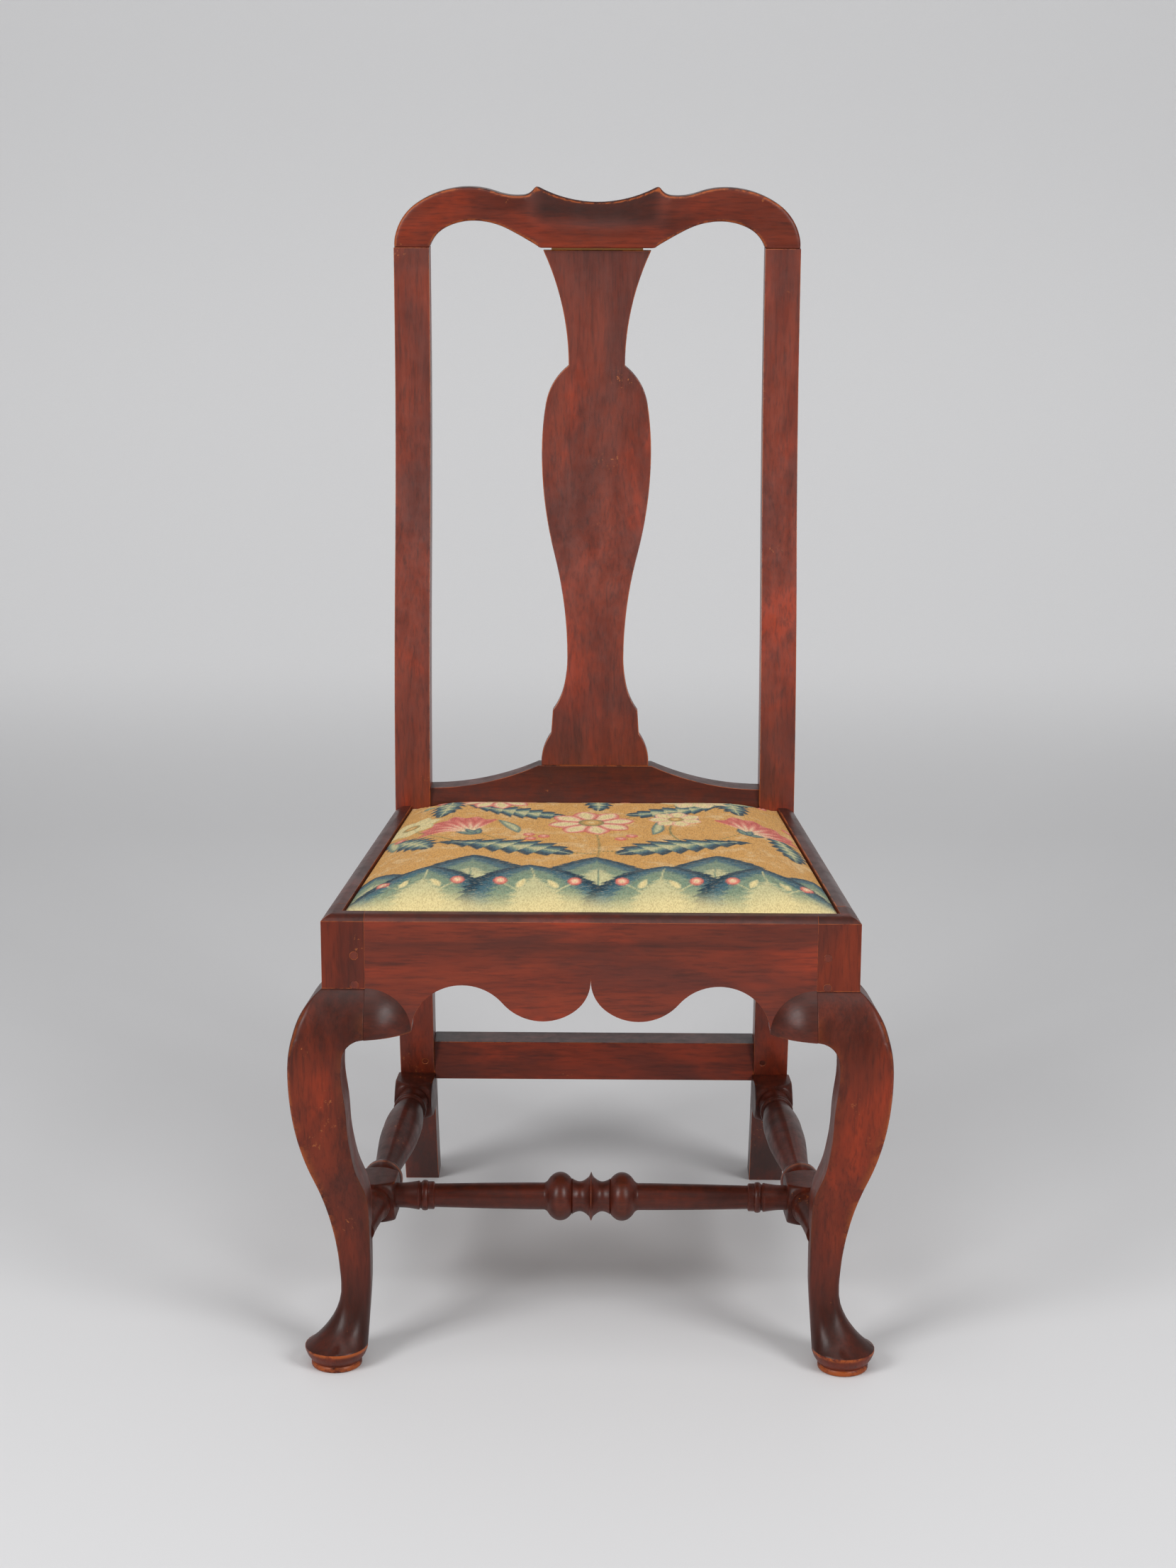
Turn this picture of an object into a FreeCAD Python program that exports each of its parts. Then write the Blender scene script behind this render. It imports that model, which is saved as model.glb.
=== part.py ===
import FreeCAD, Part
import math
import os

Vector = FreeCAD.Vector
UP = Vector(0, 0, 1)
RIGHT = Vector(1, 0, 0)
BACK = Vector(0, 1, 0)

# All sizes are in millimetres. Depths run backwards from the front rail's face, heights up from the floor.

# Seat frame
seat_front_width = 470.0
seat_back_width = 396.0
seat_depth = 374.0
rail_edge_height = 420.0
lip_rise = 5.0
lip_width = 16.0
rabbet_depth = 23.5
rail_thickness = 28.0
post_block_height = 61.0
side_arch_rise = 33.0
side_arch_run = 30.0
rear_rail_forward = 12.0
rear_rail_thickness = 42.0
rear_rail_height = 52.0

# Shaped apron of the front rail
bracket_size = 40.0
bracket_tip = 1.2
bracket_flats = 8
arch_rise = 43.3
arch_half_width = 45.0
lobe_rise = 10.5
lobe_half_width = 42.0
cusp_rise = 48.0

# Cabriole front legs
post_width = 37.6
knee_swell = 27.0
knee_drop = 69.0
hollow_drop = 49.0
hollow_inset = 15.5
calf_drop = 214.0
ankle_height = 73.0
ankle_outer_inset = 9.0
ankle_inner_inset = 37.5
pad_inset = 6.0
pad_radius = 28.4
pad_rim_height = 19.0
pad_base_radius = 22.9
pad_base_height = 4.5
pad_groove = 1.2

# Rear stiles
stile_width = 34.5
stile_depth = 38.0
stile_foot_depth = 36.0
rake = 71.0
rake_drop = 130.0
spoon_drop = 1.0
spoon_length = 476.0
spoon_lean = 73.0

# Crest rail
crest_joint_rise = 67.0
crest_thickness = 28.0
shoulder_inset = 73.5
shoulder_rise = 57.8
valley_rise = 50.0
ear_half_spacing = 60.3
ear_width = 11.4
ear_rise = 59.0
dip_rise = 43.2
crest_arch_inset = 43.4
crest_arch_rise = 25.6
crest_foot_half_width = 55.4
scoop_radius = 145.0
scoop_rim_radius = 62.0
scoop_centre_rise = 78.0

# Splat and shoe
splat_thickness = 10.0
splat_setback = 8.0
splat_top_gap = 2.6
splat_foot_half_width = 53.0
splat_top_half_width = 52.7
vase_waist_half_width = 27.7
vase_belly_half_width = 54.0
shoe_rise = 40.0
shoe_wing_rise = 17.0
shoe_top_half_width = 56.0
shoe_setback = 2.0
shoe_depth = 28.0
shoe_cove = 6.0

# Stretchers
stretcher_height = 118.0
stretcher_block = 38.0
turning_flats = 20
turning_step = 0.6
stretcher_end_radius = 10.5
stretcher_inset = 7.6
front_block_start = 56.0
front_block_length = 43.0
rear_block_length = 40.0
block_taper = 7.0
cove_length = 6.0
vase_ring_length = 20.0
vase_neck_length = 4.0
collar_length = 24.0
collar_bead_width = 6.0
vase_radius = 18.3
vase_neck_radius = 12.0
vase_ring_radius = 18.8
medial_radius = 12.5
medial_end_radius = 10.9
medial_ball_radius = 22.6
medial_ball_width = 22.0
medial_reel_radius = 14.2
medial_reel_width = 16.0
medial_ring_half_width = 1.7
medial_bead_radius = 14.2
medial_bead_width = 6.0
medial_bead_setback = 8.0
medial_land_width = 6.0
medial_flare_length = 21.0
rear_stretcher_depth = 32.0
rear_stretcher_height = 40.0
rear_stretcher_bottom = 130.5
rear_stretcher_setback = 3.0

# Joinery
joint_clearance = 0.1
rail_tenon_thickness = 9.0
rail_tenon_setback = 9.0
rail_tenon_length = 24.0
side_tenon_length = 18.0
rear_tenon_length = 13.0
tenon_shoulder = 6.0
round_tenon_radius = 6.0
round_tenon_length = 14.0
crest_tenon_width = 14.0
crest_tenon_height = 18.0
splat_tenon_inset = 8.0
splat_tenon_thickness = 7.0
splat_tenon_height = 12.0
peg_width = 7.6
peg_length = 22.0
side_peg_length = 20.0
peg_upper_drop = 31.0
peg_lower_drop = 58.0
stile_peg_shift = 6.0
peg_edge_distance = 9.1
small_peg_width = 6.0
corner_block_leg = 62.0
corner_block_height = 36.0
corner_block_drop = 2.0

# Slip seat
seat_gap = 1.0
seat_rest_gap = 0.3
cover_thickness = 1.2
cover_flange = 24.0
seat_member_width = 48.0
seat_member_thickness = 16.0
web_width = 50.0
web_thickness = 1.0
web_count = 3
web_slack = 2.0
sack_thickness = 0.8
layer_gap = 0.1
stuffing_gap = 0.3
crown_rise = 17.0
crown_inset = 120.0
crown_steps = 4
tack_head_width = 5.4
tack_head_height = 0.9
tack_shank = 1.6
tack_length = 9.0
tack_inset = 17.0
side_tack_count = 3

# Values worked out from the sizes above
half_front = seat_front_width / 2
half_back = seat_back_width / 2
splay = (half_front - half_back) / seat_depth
lip_top = rail_edge_height + lip_rise
ledge_height = lip_top - rabbet_depth
block_bottom = rail_edge_height - post_block_height
apron_end_height = block_bottom - bracket_size
side_arch_height = apron_end_height + side_arch_rise
arch_height = apron_end_height + arch_rise
lobe_height = apron_end_height + lobe_rise
cusp_height = apron_end_height + cusp_rise
knee_height = block_bottom - knee_drop
hollow_height = apron_end_height - hollow_drop
calf_height = block_bottom - calf_drop
rake_height = rail_edge_height - rake_drop
spoon_start_height = lip_top - spoon_drop
spoon_end_height = spoon_start_height + spoon_length
crest_joint_height = spoon_end_height + crest_joint_rise
shoe_height = lip_top + shoe_rise
shoe_wing_height = lip_top + shoe_wing_rise
seam_x = half_front - post_width
stile_inner = half_back - stile_width
stile_centre = half_back - stile_width / 2
back_reach = max(rake + stile_foot_depth, spoon_lean + crest_thickness)
overall_depth = knee_swell + seat_depth + back_reach
front_y = knee_swell - overall_depth / 2
far = seat_front_width


def at(depth):
    """Y of a point that lies the given depth behind the front rail's face."""
    return front_y + depth


def side_x(depth, inset=0.0):
    """X of a line parallel to the right side's outer face, inset square to that face."""
    return half_front - splay * depth - inset * math.hypot(1, splay)


def box(x0, x1, depth0, depth1, z0, z1):
    return Part.makeBox(x1 - x0, depth1 - depth0, z1 - z0, Vector(x0, at(depth0), z0))


def grown(tenon, amount=joint_clearance):
    """The mortise of a square tenon: the same block, larger all round by the clearance."""
    b = tenon.BoundBox
    corner = Vector(b.XMin - amount, b.YMin - amount, b.ZMin - amount)
    return Part.makeBox(b.XLength + 2 * amount, b.YLength + 2 * amount, b.ZLength + 2 * amount, corner)


def mirrored(shape):
    """The left-hand twin of a right-hand piece."""
    return shape.mirror(Vector(0, 0, 0), RIGHT)


def line(start, end):
    return Part.LineSegment(start, end).toShape()


def arc(start, middle, end):
    return Part.Arc(start, middle, end).toShape()


def smooth_arc(start, tangent, end):
    """Arc that leaves start along the tangent and runs to end, and its tangent there."""
    chord = end - start
    along = Vector(chord).normalize()
    tangent = Vector(tangent).normalize()
    ahead = min(max(tangent.dot(along), -1), 1)
    aside = tangent - along * ahead
    end_tangent = along * (2 * ahead) - tangent
    if aside.Length < 1e-6:
        return line(start, end), end_tangent
    bulge = chord.Length / 2 * math.tan(math.acos(ahead) / 2)
    return arc(start, start + chord * 0.5 + aside.normalize() * bulge, end), end_tangent


def smooth_pair(start, start_tangent, end, end_tangent):
    """Two arcs that join smoothly and keep to the given tangents at both ends."""
    span = end - start
    start_tangent = Vector(start_tangent).normalize()
    end_tangent = Vector(end_tangent).normalize()
    both = start_tangent + end_tangent
    turn = 2 * (1 - start_tangent.dot(end_tangent))
    if turn < 1e-9:
        reach = span.dot(span) / (4 * span.dot(end_tangent))
    else:
        reach = (math.sqrt(span.dot(both) ** 2 + turn * span.dot(span)) - span.dot(both)) / turn
    middle = (start + start_tangent * reach + end - end_tangent * reach) * 0.5
    first, tangent = smooth_arc(start, start_tangent, middle)
    return [first, smooth_arc(middle, tangent, end)[0]]


def bend(run, length, throw):
    """Sideways shift, at a run along the length, of an S of two equal arcs that is straight at both ends."""
    radius = (length ** 2 + throw ** 2) / (4 * throw)
    run = min(max(run, 0), length)
    shift = radius - math.sqrt(radius ** 2 - min(run, length - run) ** 2)
    return shift if run <= length / 2 else throw - shift


def prism(edges, direction):
    return Part.Face(Part.Wire(edges)).extrude(direction)


def plan_prism(corners, z0, z1):
    """Upright prism on a plan outline given as (x, depth) corners."""
    points = [Vector(x, at(depth), z0) for x, depth in corners]
    return Part.Face(Part.makePolygon(points + points[:1])).extrude(UP * (z1 - z0))


def fused(shapes):
    return shapes[0].multiFuse(shapes[1:]).removeSplitter()


def polygon_solid(outlines):
    """Solid bounded by flat polygons."""
    faces = [Part.Face(Part.makePolygon(outline + outline[:1])) for outline in outlines]
    solid = Part.makeSolid(Part.makeShell(faces))
    if solid.Volume < 0:
        solid.reverse()
    return solid


def one_solid(shape):
    """The single solid of a boolean result."""
    return shape.Solids[0] if len(shape.Solids) == 1 else shape


def peg(start, direction, length, width):
    """Riven eight-sided peg."""
    ring = []
    axis = direction.normalize()
    side = axis.cross(UP).normalize()
    for i in range(8):
        turn = math.radians(22.5 + 45 * i)
        ring.append(start + (side * math.cos(turn) + UP * math.sin(turn)) * (width / 2))
    return Part.Face(Part.makePolygon(ring + ring[:1])).extrude(axis * length)


# Moulded lip and well of the seat frame

def lip_cutter(corner, along, inward, length):
    """Waste above the rounded lip that runs from corner along one side of the seat."""
    start = corner - along * length
    outer = start + UP * rail_edge_height
    middle = start + inward * (0.3 * lip_width) + UP * (rail_edge_height + 0.72 * lip_rise)
    inner = start + inward * lip_width + UP * lip_top
    over = UP * (2 * lip_rise)
    clear = inward * lip_width
    edges = [arc(outer, middle, inner), line(inner, inner + over), line(inner + over, outer - clear + over),
             line(outer - clear + over, outer - clear), line(outer - clear, outer)]
    return prism(edges, along * (3 * length))


side_along = Vector(-splay, 1, 0).normalize()
side_inward = Vector(-1, -splay, 0).normalize()
front_lip = lip_cutter(Vector(0, at(0), 0), RIGHT, BACK, far)
side_lip = lip_cutter(Vector(half_front, at(0), 0), side_along, side_inward, far)


def seat_corners(inset):
    """Plan of the seat's well, drawn in by inset all round."""
    front = lip_width + inset
    back = seat_depth - inset
    right_front = side_x(front, lip_width + inset)
    right_back = side_x(back, lip_width + inset)
    return [(-right_front, front), (right_front, front), (right_back, back), (-right_back, back)]


well = plan_prism(seat_corners(0), ledge_height, lip_top + lip_rise)


# Cabriole front leg

def leg_inner(z):
    """Inset of the leg's inner side below the hollow under the knee."""
    sweep = ankle_inner_inset - hollow_inset
    return hollow_inset + bend(hollow_height - z, hollow_height - calf_height, sweep)


def knee_edges(place):
    """The knee's quarter-oval, from the foot of the post block to its fullest point."""
    outward = (place(1, 0) - place(0, 0)).normalize()
    start = outward * 0.79 - UP * 0.61
    return smooth_pair(place(0, block_bottom), start, place(knee_swell, knee_height), -UP)


def leg_outer_edges(place):
    """Knee, long sweep to the ankle, and the flare on to the rim of the foot."""
    knee = place(knee_swell, knee_height)
    ankle = place(-ankle_outer_inset, ankle_height)
    outward = (place(1, 0) - place(0, 0)).normalize()
    flare = smooth_pair(ankle, -UP, place(pad_radius - pad_inset + 1, pad_rim_height), outward * 1.9 - UP)
    return knee_edges(place) + smooth_pair(knee, -UP, ankle, -UP) + flare


def leg_inner_edges(place):
    """Post, hollow under the knee, sweep to the calf, straight to the ankle, and the heel of the foot."""
    outward = (place(1, 0) - place(0, 0)).normalize()
    hollow = place(-hollow_inset, hollow_height)
    calf = place(-ankle_inner_inset, calf_height)
    ankle = place(-ankle_inner_inset, ankle_height)
    edges = [line(place(-post_width, block_bottom), place(-post_width, apron_end_height))]
    edges += smooth_pair(place(-post_width, apron_end_height), outward, hollow, -UP)
    edges += smooth_pair(hollow, -UP, calf, -UP)
    edges += [line(calf, ankle), line(ankle, place(-pad_radius - pad_inset, pad_rim_height))]
    return edges


def leg_blade():
    """The curved leg between post and ankle, square in section, its outer side turned to the seat's splay."""
    reach = 2 * post_width

    def splayed(offset, z):
        return Vector(half_front, at(0), z) - side_inward * offset - side_along * reach

    def straight(offset, z):
        return Vector(half_front + offset, at(-reach), z)

    def side(offset, z):
        return Vector(half_front - 2 * reach, at(-offset), z)

    toe = pad_radius - pad_inset + 1
    heel = -pad_radius - pad_inset
    outside = leg_outer_edges(splayed)
    outside += [line(splayed(toe, pad_rim_height), splayed(-2 * reach, pad_rim_height)),
                line(splayed(-2 * reach, pad_rim_height), splayed(-2 * reach, block_bottom)),
                line(splayed(-2 * reach, block_bottom), splayed(0, block_bottom))]
    inside = leg_inner_edges(straight)
    inside += [line(straight(heel, pad_rim_height), straight(2 * reach, pad_rim_height)),
               line(straight(2 * reach, pad_rim_height), straight(2 * reach, block_bottom)),
               line(straight(2 * reach, block_bottom), straight(-post_width, block_bottom))]
    flank = leg_outer_edges(side)
    flank.append(line(side(toe, pad_rim_height), side(heel, pad_rim_height)))
    flank += list(reversed(leg_inner_edges(side)))
    flank.append(line(side(-post_width, block_bottom), side(0, block_bottom)))
    blade = prism(outside, side_along * (3 * reach))
    blade = blade.common(prism(inside, BACK * (3 * reach)))
    return blade.common(prism(flank, RIGHT * (4 * reach)))


def foot_waste():
    """Wood taken off round the foot, so that its square section ends in a round rim."""
    height = ankle_height - pad_rim_height
    wide = math.sqrt(2) * (ankle_inner_inset - pad_inset) + 2
    centre = Vector(half_front - pad_inset, at(pad_inset), pad_rim_height)
    block = Part.makeBox(4 * wide, 4 * wide, height, centre - Vector(2 * wide, 2 * wide, 0))
    return block.cut(Part.makeCone(pad_radius, wide, height, centre, UP))


def pad_foot():
    """Turned pad under the foot, on a small disc."""
    neck = pad_base_height + pad_groove
    waist = pad_base_radius - pad_groove
    profile = [(0, pad_base_radius), (pad_base_height, pad_base_radius), (neck, waist),
               ((neck + pad_rim_height) / 2, waist + 0.68 * (pad_radius - waist)),
               (pad_rim_height, pad_radius)]
    return turned(profile, Vector(half_front - pad_inset, at(pad_inset), 0), UP)


def front_leg():
    post_back = half_front - splay * post_width
    post = plan_prism([(seam_x, 0), (half_front, 0), (post_back, post_width), (seam_x, post_width)],
                      block_bottom, lip_top)
    leg = fused([leg_blade().cut(foot_waste()), post, pad_foot()])
    return leg.cut(front_lip).cut(side_lip).cut(well)


# Rear stile and the spoon curve of the back

def spoon(z):
    """Depth of the stile's front face above the seat."""
    return seat_depth + bend(z - spoon_start_height, spoon_end_height - spoon_start_height, spoon_lean)


def raked(z):
    """Depth of the rear leg's front face below the seat, where one arc carries it back."""
    radius = (rake_height ** 2 + rake ** 2) / (2 * rake)
    return seat_depth + radius - math.sqrt(radius ** 2 - max(rake_height - z, 0) ** 2)


def spoon_edges(x, low_depth, high_depth):
    """S-curve that leaves both ends upright, from the seat to below the crest."""
    return smooth_pair(Vector(x, at(low_depth), spoon_start_height), UP,
                       Vector(x, at(high_depth), spoon_end_height), UP)


def stile_edges(x, foot_depth, seat_level, crest_level):
    """One long edge of the stile's side view: raked foot, upright, spoon curve, upright."""
    knee = Vector(x, at(seat_level), rake_height)
    raked_arc = smooth_arc(knee, -UP, Vector(x, at(foot_depth), 0))[0]
    low = line(knee, Vector(x, at(seat_level), spoon_start_height))
    high = line(Vector(x, at(crest_level), spoon_end_height), Vector(x, at(crest_level), crest_joint_height))
    return [raked_arc, low] + spoon_edges(x, seat_level, crest_level) + [high]


crest_front = seat_depth + spoon_lean
crest_back = crest_front + crest_thickness
crest_tenon = box(stile_centre - crest_tenon_width / 2, stile_centre + crest_tenon_width / 2,
                  crest_front + crest_thickness / 3, crest_back - crest_thickness / 3,
                  crest_joint_height, crest_joint_height + crest_tenon_height)


def rear_stile():
    foot_front = seat_depth + rake
    foot_back = foot_front + stile_foot_depth
    front = stile_edges(stile_inner, foot_front, seat_depth, crest_front)
    back = stile_edges(stile_inner, foot_back, seat_depth + stile_depth, crest_back)
    top = line(Vector(stile_inner, at(crest_front), crest_joint_height),
               Vector(stile_inner, at(crest_back), crest_joint_height))
    bottom = line(Vector(stile_inner, at(foot_back), 0), Vector(stile_inner, at(foot_front), 0))
    stick = prism(front + [top] + list(reversed(back)) + [bottom], RIGHT * stile_width)
    return fused([stick, crest_tenon])


# Crest rail

def crest_outline():
    """Closed outline: joint, arch and foot below, shoulder, ear and dip above, the same to both sides."""
    def at_face(x, rise):
        return Vector(x, at(crest_front), crest_joint_height + rise)

    shoulder = at_face(half_back - shoulder_inset, shoulder_rise)
    valley = at_face(ear_half_spacing + ear_width, valley_rise)
    ear = at_face(ear_half_spacing, ear_rise)
    arch = at_face(stile_inner - crest_arch_inset, crest_arch_rise)
    foot = at_face(crest_foot_half_width, 0)
    half = [line(foot, at_face(-crest_foot_half_width, 0))]
    half += smooth_pair(foot, Vector(0.85, 0, 0.53), arch, RIGHT)
    half += smooth_pair(arch, RIGHT, at_face(stile_inner, 0), Vector(0.32, 0, -0.95))
    half.append(line(at_face(stile_inner, 0), at_face(half_back, 0)))
    half += smooth_pair(at_face(half_back, 0), UP, shoulder, -RIGHT)
    half += smooth_pair(shoulder, -RIGHT, valley, Vector(-0.995, 0, 0.1))
    ear_flank = at_face(ear_half_spacing + 0.38 * ear_width, valley_rise + 0.3 * (ear_rise - valley_rise))
    half.append(arc(valley, ear_flank, ear))
    dip = arc(ear, at_face(0, dip_rise), at_face(-ear_half_spacing, ear_rise))
    return half + [dip] + [mirrored(edge) for edge in reversed(half[1:])]


def crest_rail():
    rail = prism(crest_outline(), BACK * crest_thickness)
    hollow_depth = math.sqrt(scoop_radius ** 2 - scoop_rim_radius ** 2)
    scoop = Part.makeSphere(scoop_radius, Vector(0, at(crest_front - hollow_depth),
                                                 crest_joint_height + scoop_centre_rise))
    rail = rail.cut(scoop)
    for tenon in (crest_tenon, mirrored(crest_tenon), splat_top_tenon):
        rail = rail.cut(grown(tenon))
    return one_solid(rail)


# Splat and shoe

splat_shoulder = crest_joint_height - splat_top_gap
splat_length = splat_shoulder - shoe_height
splat_top_front = crest_front + splat_setback
splat_tenon_skin = (splat_thickness - splat_tenon_thickness) / 2
splat_top_tenon = box(-splat_top_half_width + splat_tenon_inset, splat_top_half_width - splat_tenon_inset,
                      splat_top_front + splat_tenon_skin,
                      splat_top_front + splat_thickness - splat_tenon_skin,
                      splat_shoulder, crest_joint_height + splat_tenon_height)
splat_foot_front = spoon(shoe_height) + splat_setback
splat_foot_tenon = box(-splat_foot_half_width + splat_tenon_inset, splat_foot_half_width - splat_tenon_inset,
                       splat_foot_front + splat_tenon_skin,
                       splat_foot_front + splat_thickness - splat_tenon_skin,
                       shoe_height - splat_tenon_height, shoe_height)


def splat_outline():
    """Right half of the splat's vase outline, foot to shoulder, and its mirror image."""
    def point(share, half_width):
        return Vector(half_width, at(0), shoe_height + share * splat_length)

    foot = point(0.014, splat_foot_half_width)
    step = point(0.064, 0.82 * splat_foot_half_width)
    ankle = point(0.11, 0.79 * splat_foot_half_width)
    neck = point(0.213, vase_waist_half_width)
    belly = point(0.608, vase_belly_half_width)
    cusp = point(0.776, vase_waist_half_width)
    top = point(1, splat_top_half_width)
    edges = [line(point(0, splat_foot_half_width), foot),
             arc(foot, point(0.046, 0.92 * splat_foot_half_width), step),
             line(step, ankle)]
    edges += smooth_pair(ankle, Vector(-0.6, 0, 0.8), neck, UP)
    edges += smooth_pair(neck, UP, belly, UP)
    edges += smooth_pair(belly, UP, cusp, Vector(-0.8, 0, 0.6))
    edges.append(smooth_arc(cusp, UP, top)[0])
    across = line(top, point(1, -splat_top_half_width))
    closing = line(point(0, -splat_foot_half_width), point(0, splat_foot_half_width))
    return edges + [across] + [mirrored(edge) for edge in reversed(edges)] + [closing]


def back_splat():
    board = prism(splat_outline(), BACK * (2 * seat_depth))
    low = seat_depth + splat_setback
    high = low + spoon_lean
    x = -far / 2

    def upright(depth, z0, z1):
        return line(Vector(x, at(depth), z0), Vector(x, at(depth), z1))

    foot = spoon_start_height - splat_length
    head = spoon_end_height + splat_length
    strip = [upright(low, foot, spoon_start_height)] + spoon_edges(x, low, high)
    strip += [upright(high, spoon_end_height, head),
              line(Vector(x, at(high), head), Vector(x, at(high + splat_thickness), head)),
              upright(high + splat_thickness, head, spoon_end_height)]
    strip += reversed(spoon_edges(x, low + splat_thickness, high + splat_thickness))
    strip += [upright(low + splat_thickness, spoon_start_height, foot),
              line(Vector(x, at(low + splat_thickness), foot), Vector(x, at(low), foot))]
    board = board.common(prism(strip, RIGHT * far))
    return fused([board, splat_top_tenon, splat_foot_tenon])


def splat_shoe():
    front = seat_depth + shoe_setback
    back = front + shoe_depth

    def face(x, z):
        return Vector(x, at(front), z)

    wing = face(stile_inner, shoe_wing_height)
    top_corner = face(shoe_top_half_width, shoe_height)
    right = [line(face(stile_inner, ledge_height), wing), smooth_arc(wing, -RIGHT, top_corner)[0]]
    edges = right + [line(top_corner, face(-shoe_top_half_width, shoe_height))]
    edges += [mirrored(edge) for edge in reversed(right)]
    edges.append(line(face(-stile_inner, ledge_height), face(stile_inner, ledge_height)))
    shoe = prism(edges, BACK * shoe_depth)

    def section(depth, z):
        return Vector(-stile_inner, at(depth), z)

    cove = [arc(section(front, lip_top), section(front + 0.7 * shoe_cove, (lip_top + shoe_height) / 2),
                section(front + shoe_cove, shoe_height)),
            line(section(front + shoe_cove, shoe_height), section(back, shoe_height)),
            line(section(back, shoe_height), section(back, ledge_height)),
            line(section(back, ledge_height), section(front, ledge_height)),
            line(section(front, ledge_height), section(front, lip_top))]
    shoe = shoe.common(prism(cove, RIGHT * (2 * stile_inner)))
    return one_solid(shoe.cut(grown(splat_foot_tenon)))


# Seat rails

rail_tenon_bottom = apron_end_height + 2 * tenon_shoulder
rail_tenon_top = ledge_height - tenon_shoulder
front_tenon = box(seam_x, seam_x + rail_tenon_length, rail_tenon_setback,
                  rail_tenon_setback + rail_tenon_thickness, rail_tenon_bottom, rail_tenon_top)
side_tenon_x = side_x(post_width, rail_tenon_setback)
side_front_tenon = box(side_tenon_x - rail_tenon_thickness, side_tenon_x, post_width - side_tenon_length,
                       post_width, rail_tenon_bottom, rail_tenon_top)
side_rear_x = side_x(seat_depth, rail_tenon_setback)
side_rear_tenon = box(side_rear_x - rail_tenon_thickness, side_rear_x, seat_depth,
                      seat_depth + side_tenon_length, side_arch_height + tenon_shoulder, rail_tenon_top)
rear_rail_front = seat_depth - rear_rail_forward
rear_tenon_front = seat_depth + rail_tenon_setback
rear_rail_tenon = box(stile_inner, stile_inner + rear_tenon_length, rear_tenon_front,
                      rear_tenon_front + rail_tenon_thickness,
                      ledge_height - rear_rail_height + tenon_shoulder, rail_tenon_top)


def front_seat_rail():
    tip = seam_x - bracket_size
    arch_x = tip - arch_half_width

    def face(x, z):
        return Vector(x, at(0), z)

    right = [line(face(seam_x, lip_top), face(seam_x, apron_end_height)),
             line(face(seam_x, apron_end_height), face(tip, apron_end_height))]
    right += smooth_pair(face(tip, apron_end_height), UP, face(arch_x, arch_height), -RIGHT)
    right += smooth_pair(face(arch_x, arch_height), -RIGHT, face(lobe_half_width, lobe_height), -RIGHT)
    right += smooth_pair(face(lobe_half_width, lobe_height), -RIGHT, face(0, cusp_height), UP)
    edges = right + [mirrored(edge) for edge in reversed(right)]
    edges.append(line(face(-seam_x, lip_top), face(seam_x, lip_top)))
    rail = prism(edges, BACK * rail_thickness).cut(front_lip).cut(well)
    return fused([rail, front_tenon, mirrored(front_tenon)])


def side_seat_rail():
    plan = [(side_x(post_width), post_width), (side_x(seat_depth), seat_depth),
            (side_x(seat_depth, rail_thickness), seat_depth),
            (side_x(post_width, rail_thickness), post_width)]
    rail = plan_prism(plan, apron_end_height, lip_top).cut(side_lip).cut(well)
    front_end = post_width + bracket_size
    rear_end = seat_depth - side_arch_run

    def flank(depth, z):
        return Vector(0, at(depth), z)

    arch = smooth_pair(flank(front_end, apron_end_height), UP,
                       flank(front_end + side_arch_run, side_arch_height), BACK)
    arch.append(line(flank(front_end + side_arch_run, side_arch_height),
                     flank(rear_end - side_arch_run, side_arch_height)))
    arch += smooth_pair(flank(rear_end - side_arch_run, side_arch_height), BACK,
                        flank(rear_end, apron_end_height), -UP)
    arch.append(line(flank(rear_end, apron_end_height), flank(front_end, apron_end_height)))
    rail = rail.cut(prism(arch, RIGHT * far))
    return fused([rail, side_front_tenon, side_rear_tenon])


def rear_seat_rail():
    rail = box(-stile_inner, stile_inner, rear_rail_front, rear_rail_front + rear_rail_thickness,
               ledge_height - rear_rail_height, ledge_height)
    return fused([rail, rear_rail_tenon, mirrored(rear_rail_tenon)])


def knee_bracket(origin, along, outward):
    """Quarter dome beside the knee: its section turned about the foot of the seam, down to the rail."""
    centre = origin + UP * apron_end_height
    quarter = []
    for i in range(bracket_flats + 1):
        turn = math.pi / 2 * i / bracket_flats
        quarter.append(along * math.sin(turn) + UP * math.cos(turn))

    def section(offset, z):
        return Vector(offset, 0, z)

    stations = []
    for edge, steps in zip(knee_edges(section), (4, 3)):
        stations += [(point.x, point.z - apron_end_height) for point in edge.discretize(steps + 1)[1:]]
    stations = [(0, bracket_size)] + [(swell, radius) for swell, radius in stations if radius > bracket_tip]
    rings = [[centre + outward * swell + spoke * radius for spoke in quarter] for swell, radius in stations]
    middles = [centre + outward * swell for swell, radius in stations]
    outlines = [[middles[0]] + rings[0], [middles[-1]] + rings[-1]]
    for side in (0, -1):
        outlines.append(middles + [ring[side] for ring in reversed(rings)])
    for near, beyond in zip(rings, rings[1:]):
        for i in range(bracket_flats):
            outlines.append([near[i], near[i + 1], beyond[i + 1], beyond[i]])
    return polygon_solid(outlines)


def corner_block():
    """Three-cornered block glued behind the front post, between the front and side rails."""
    inner_front = rail_thickness
    inner_side = side_x(inner_front, rail_thickness)
    end_x = inner_side - corner_block_leg
    end_depth = inner_front + corner_block_leg
    plan = [(inner_side, inner_front), (side_x(end_depth, rail_thickness), end_depth), (end_x, inner_front)]
    top = ledge_height - corner_block_drop
    block = plan_prism(plan, top - corner_block_height, top)
    return block.cut(box(seam_x, half_front, 0, post_width, 0, lip_top))


# Stretchers

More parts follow.
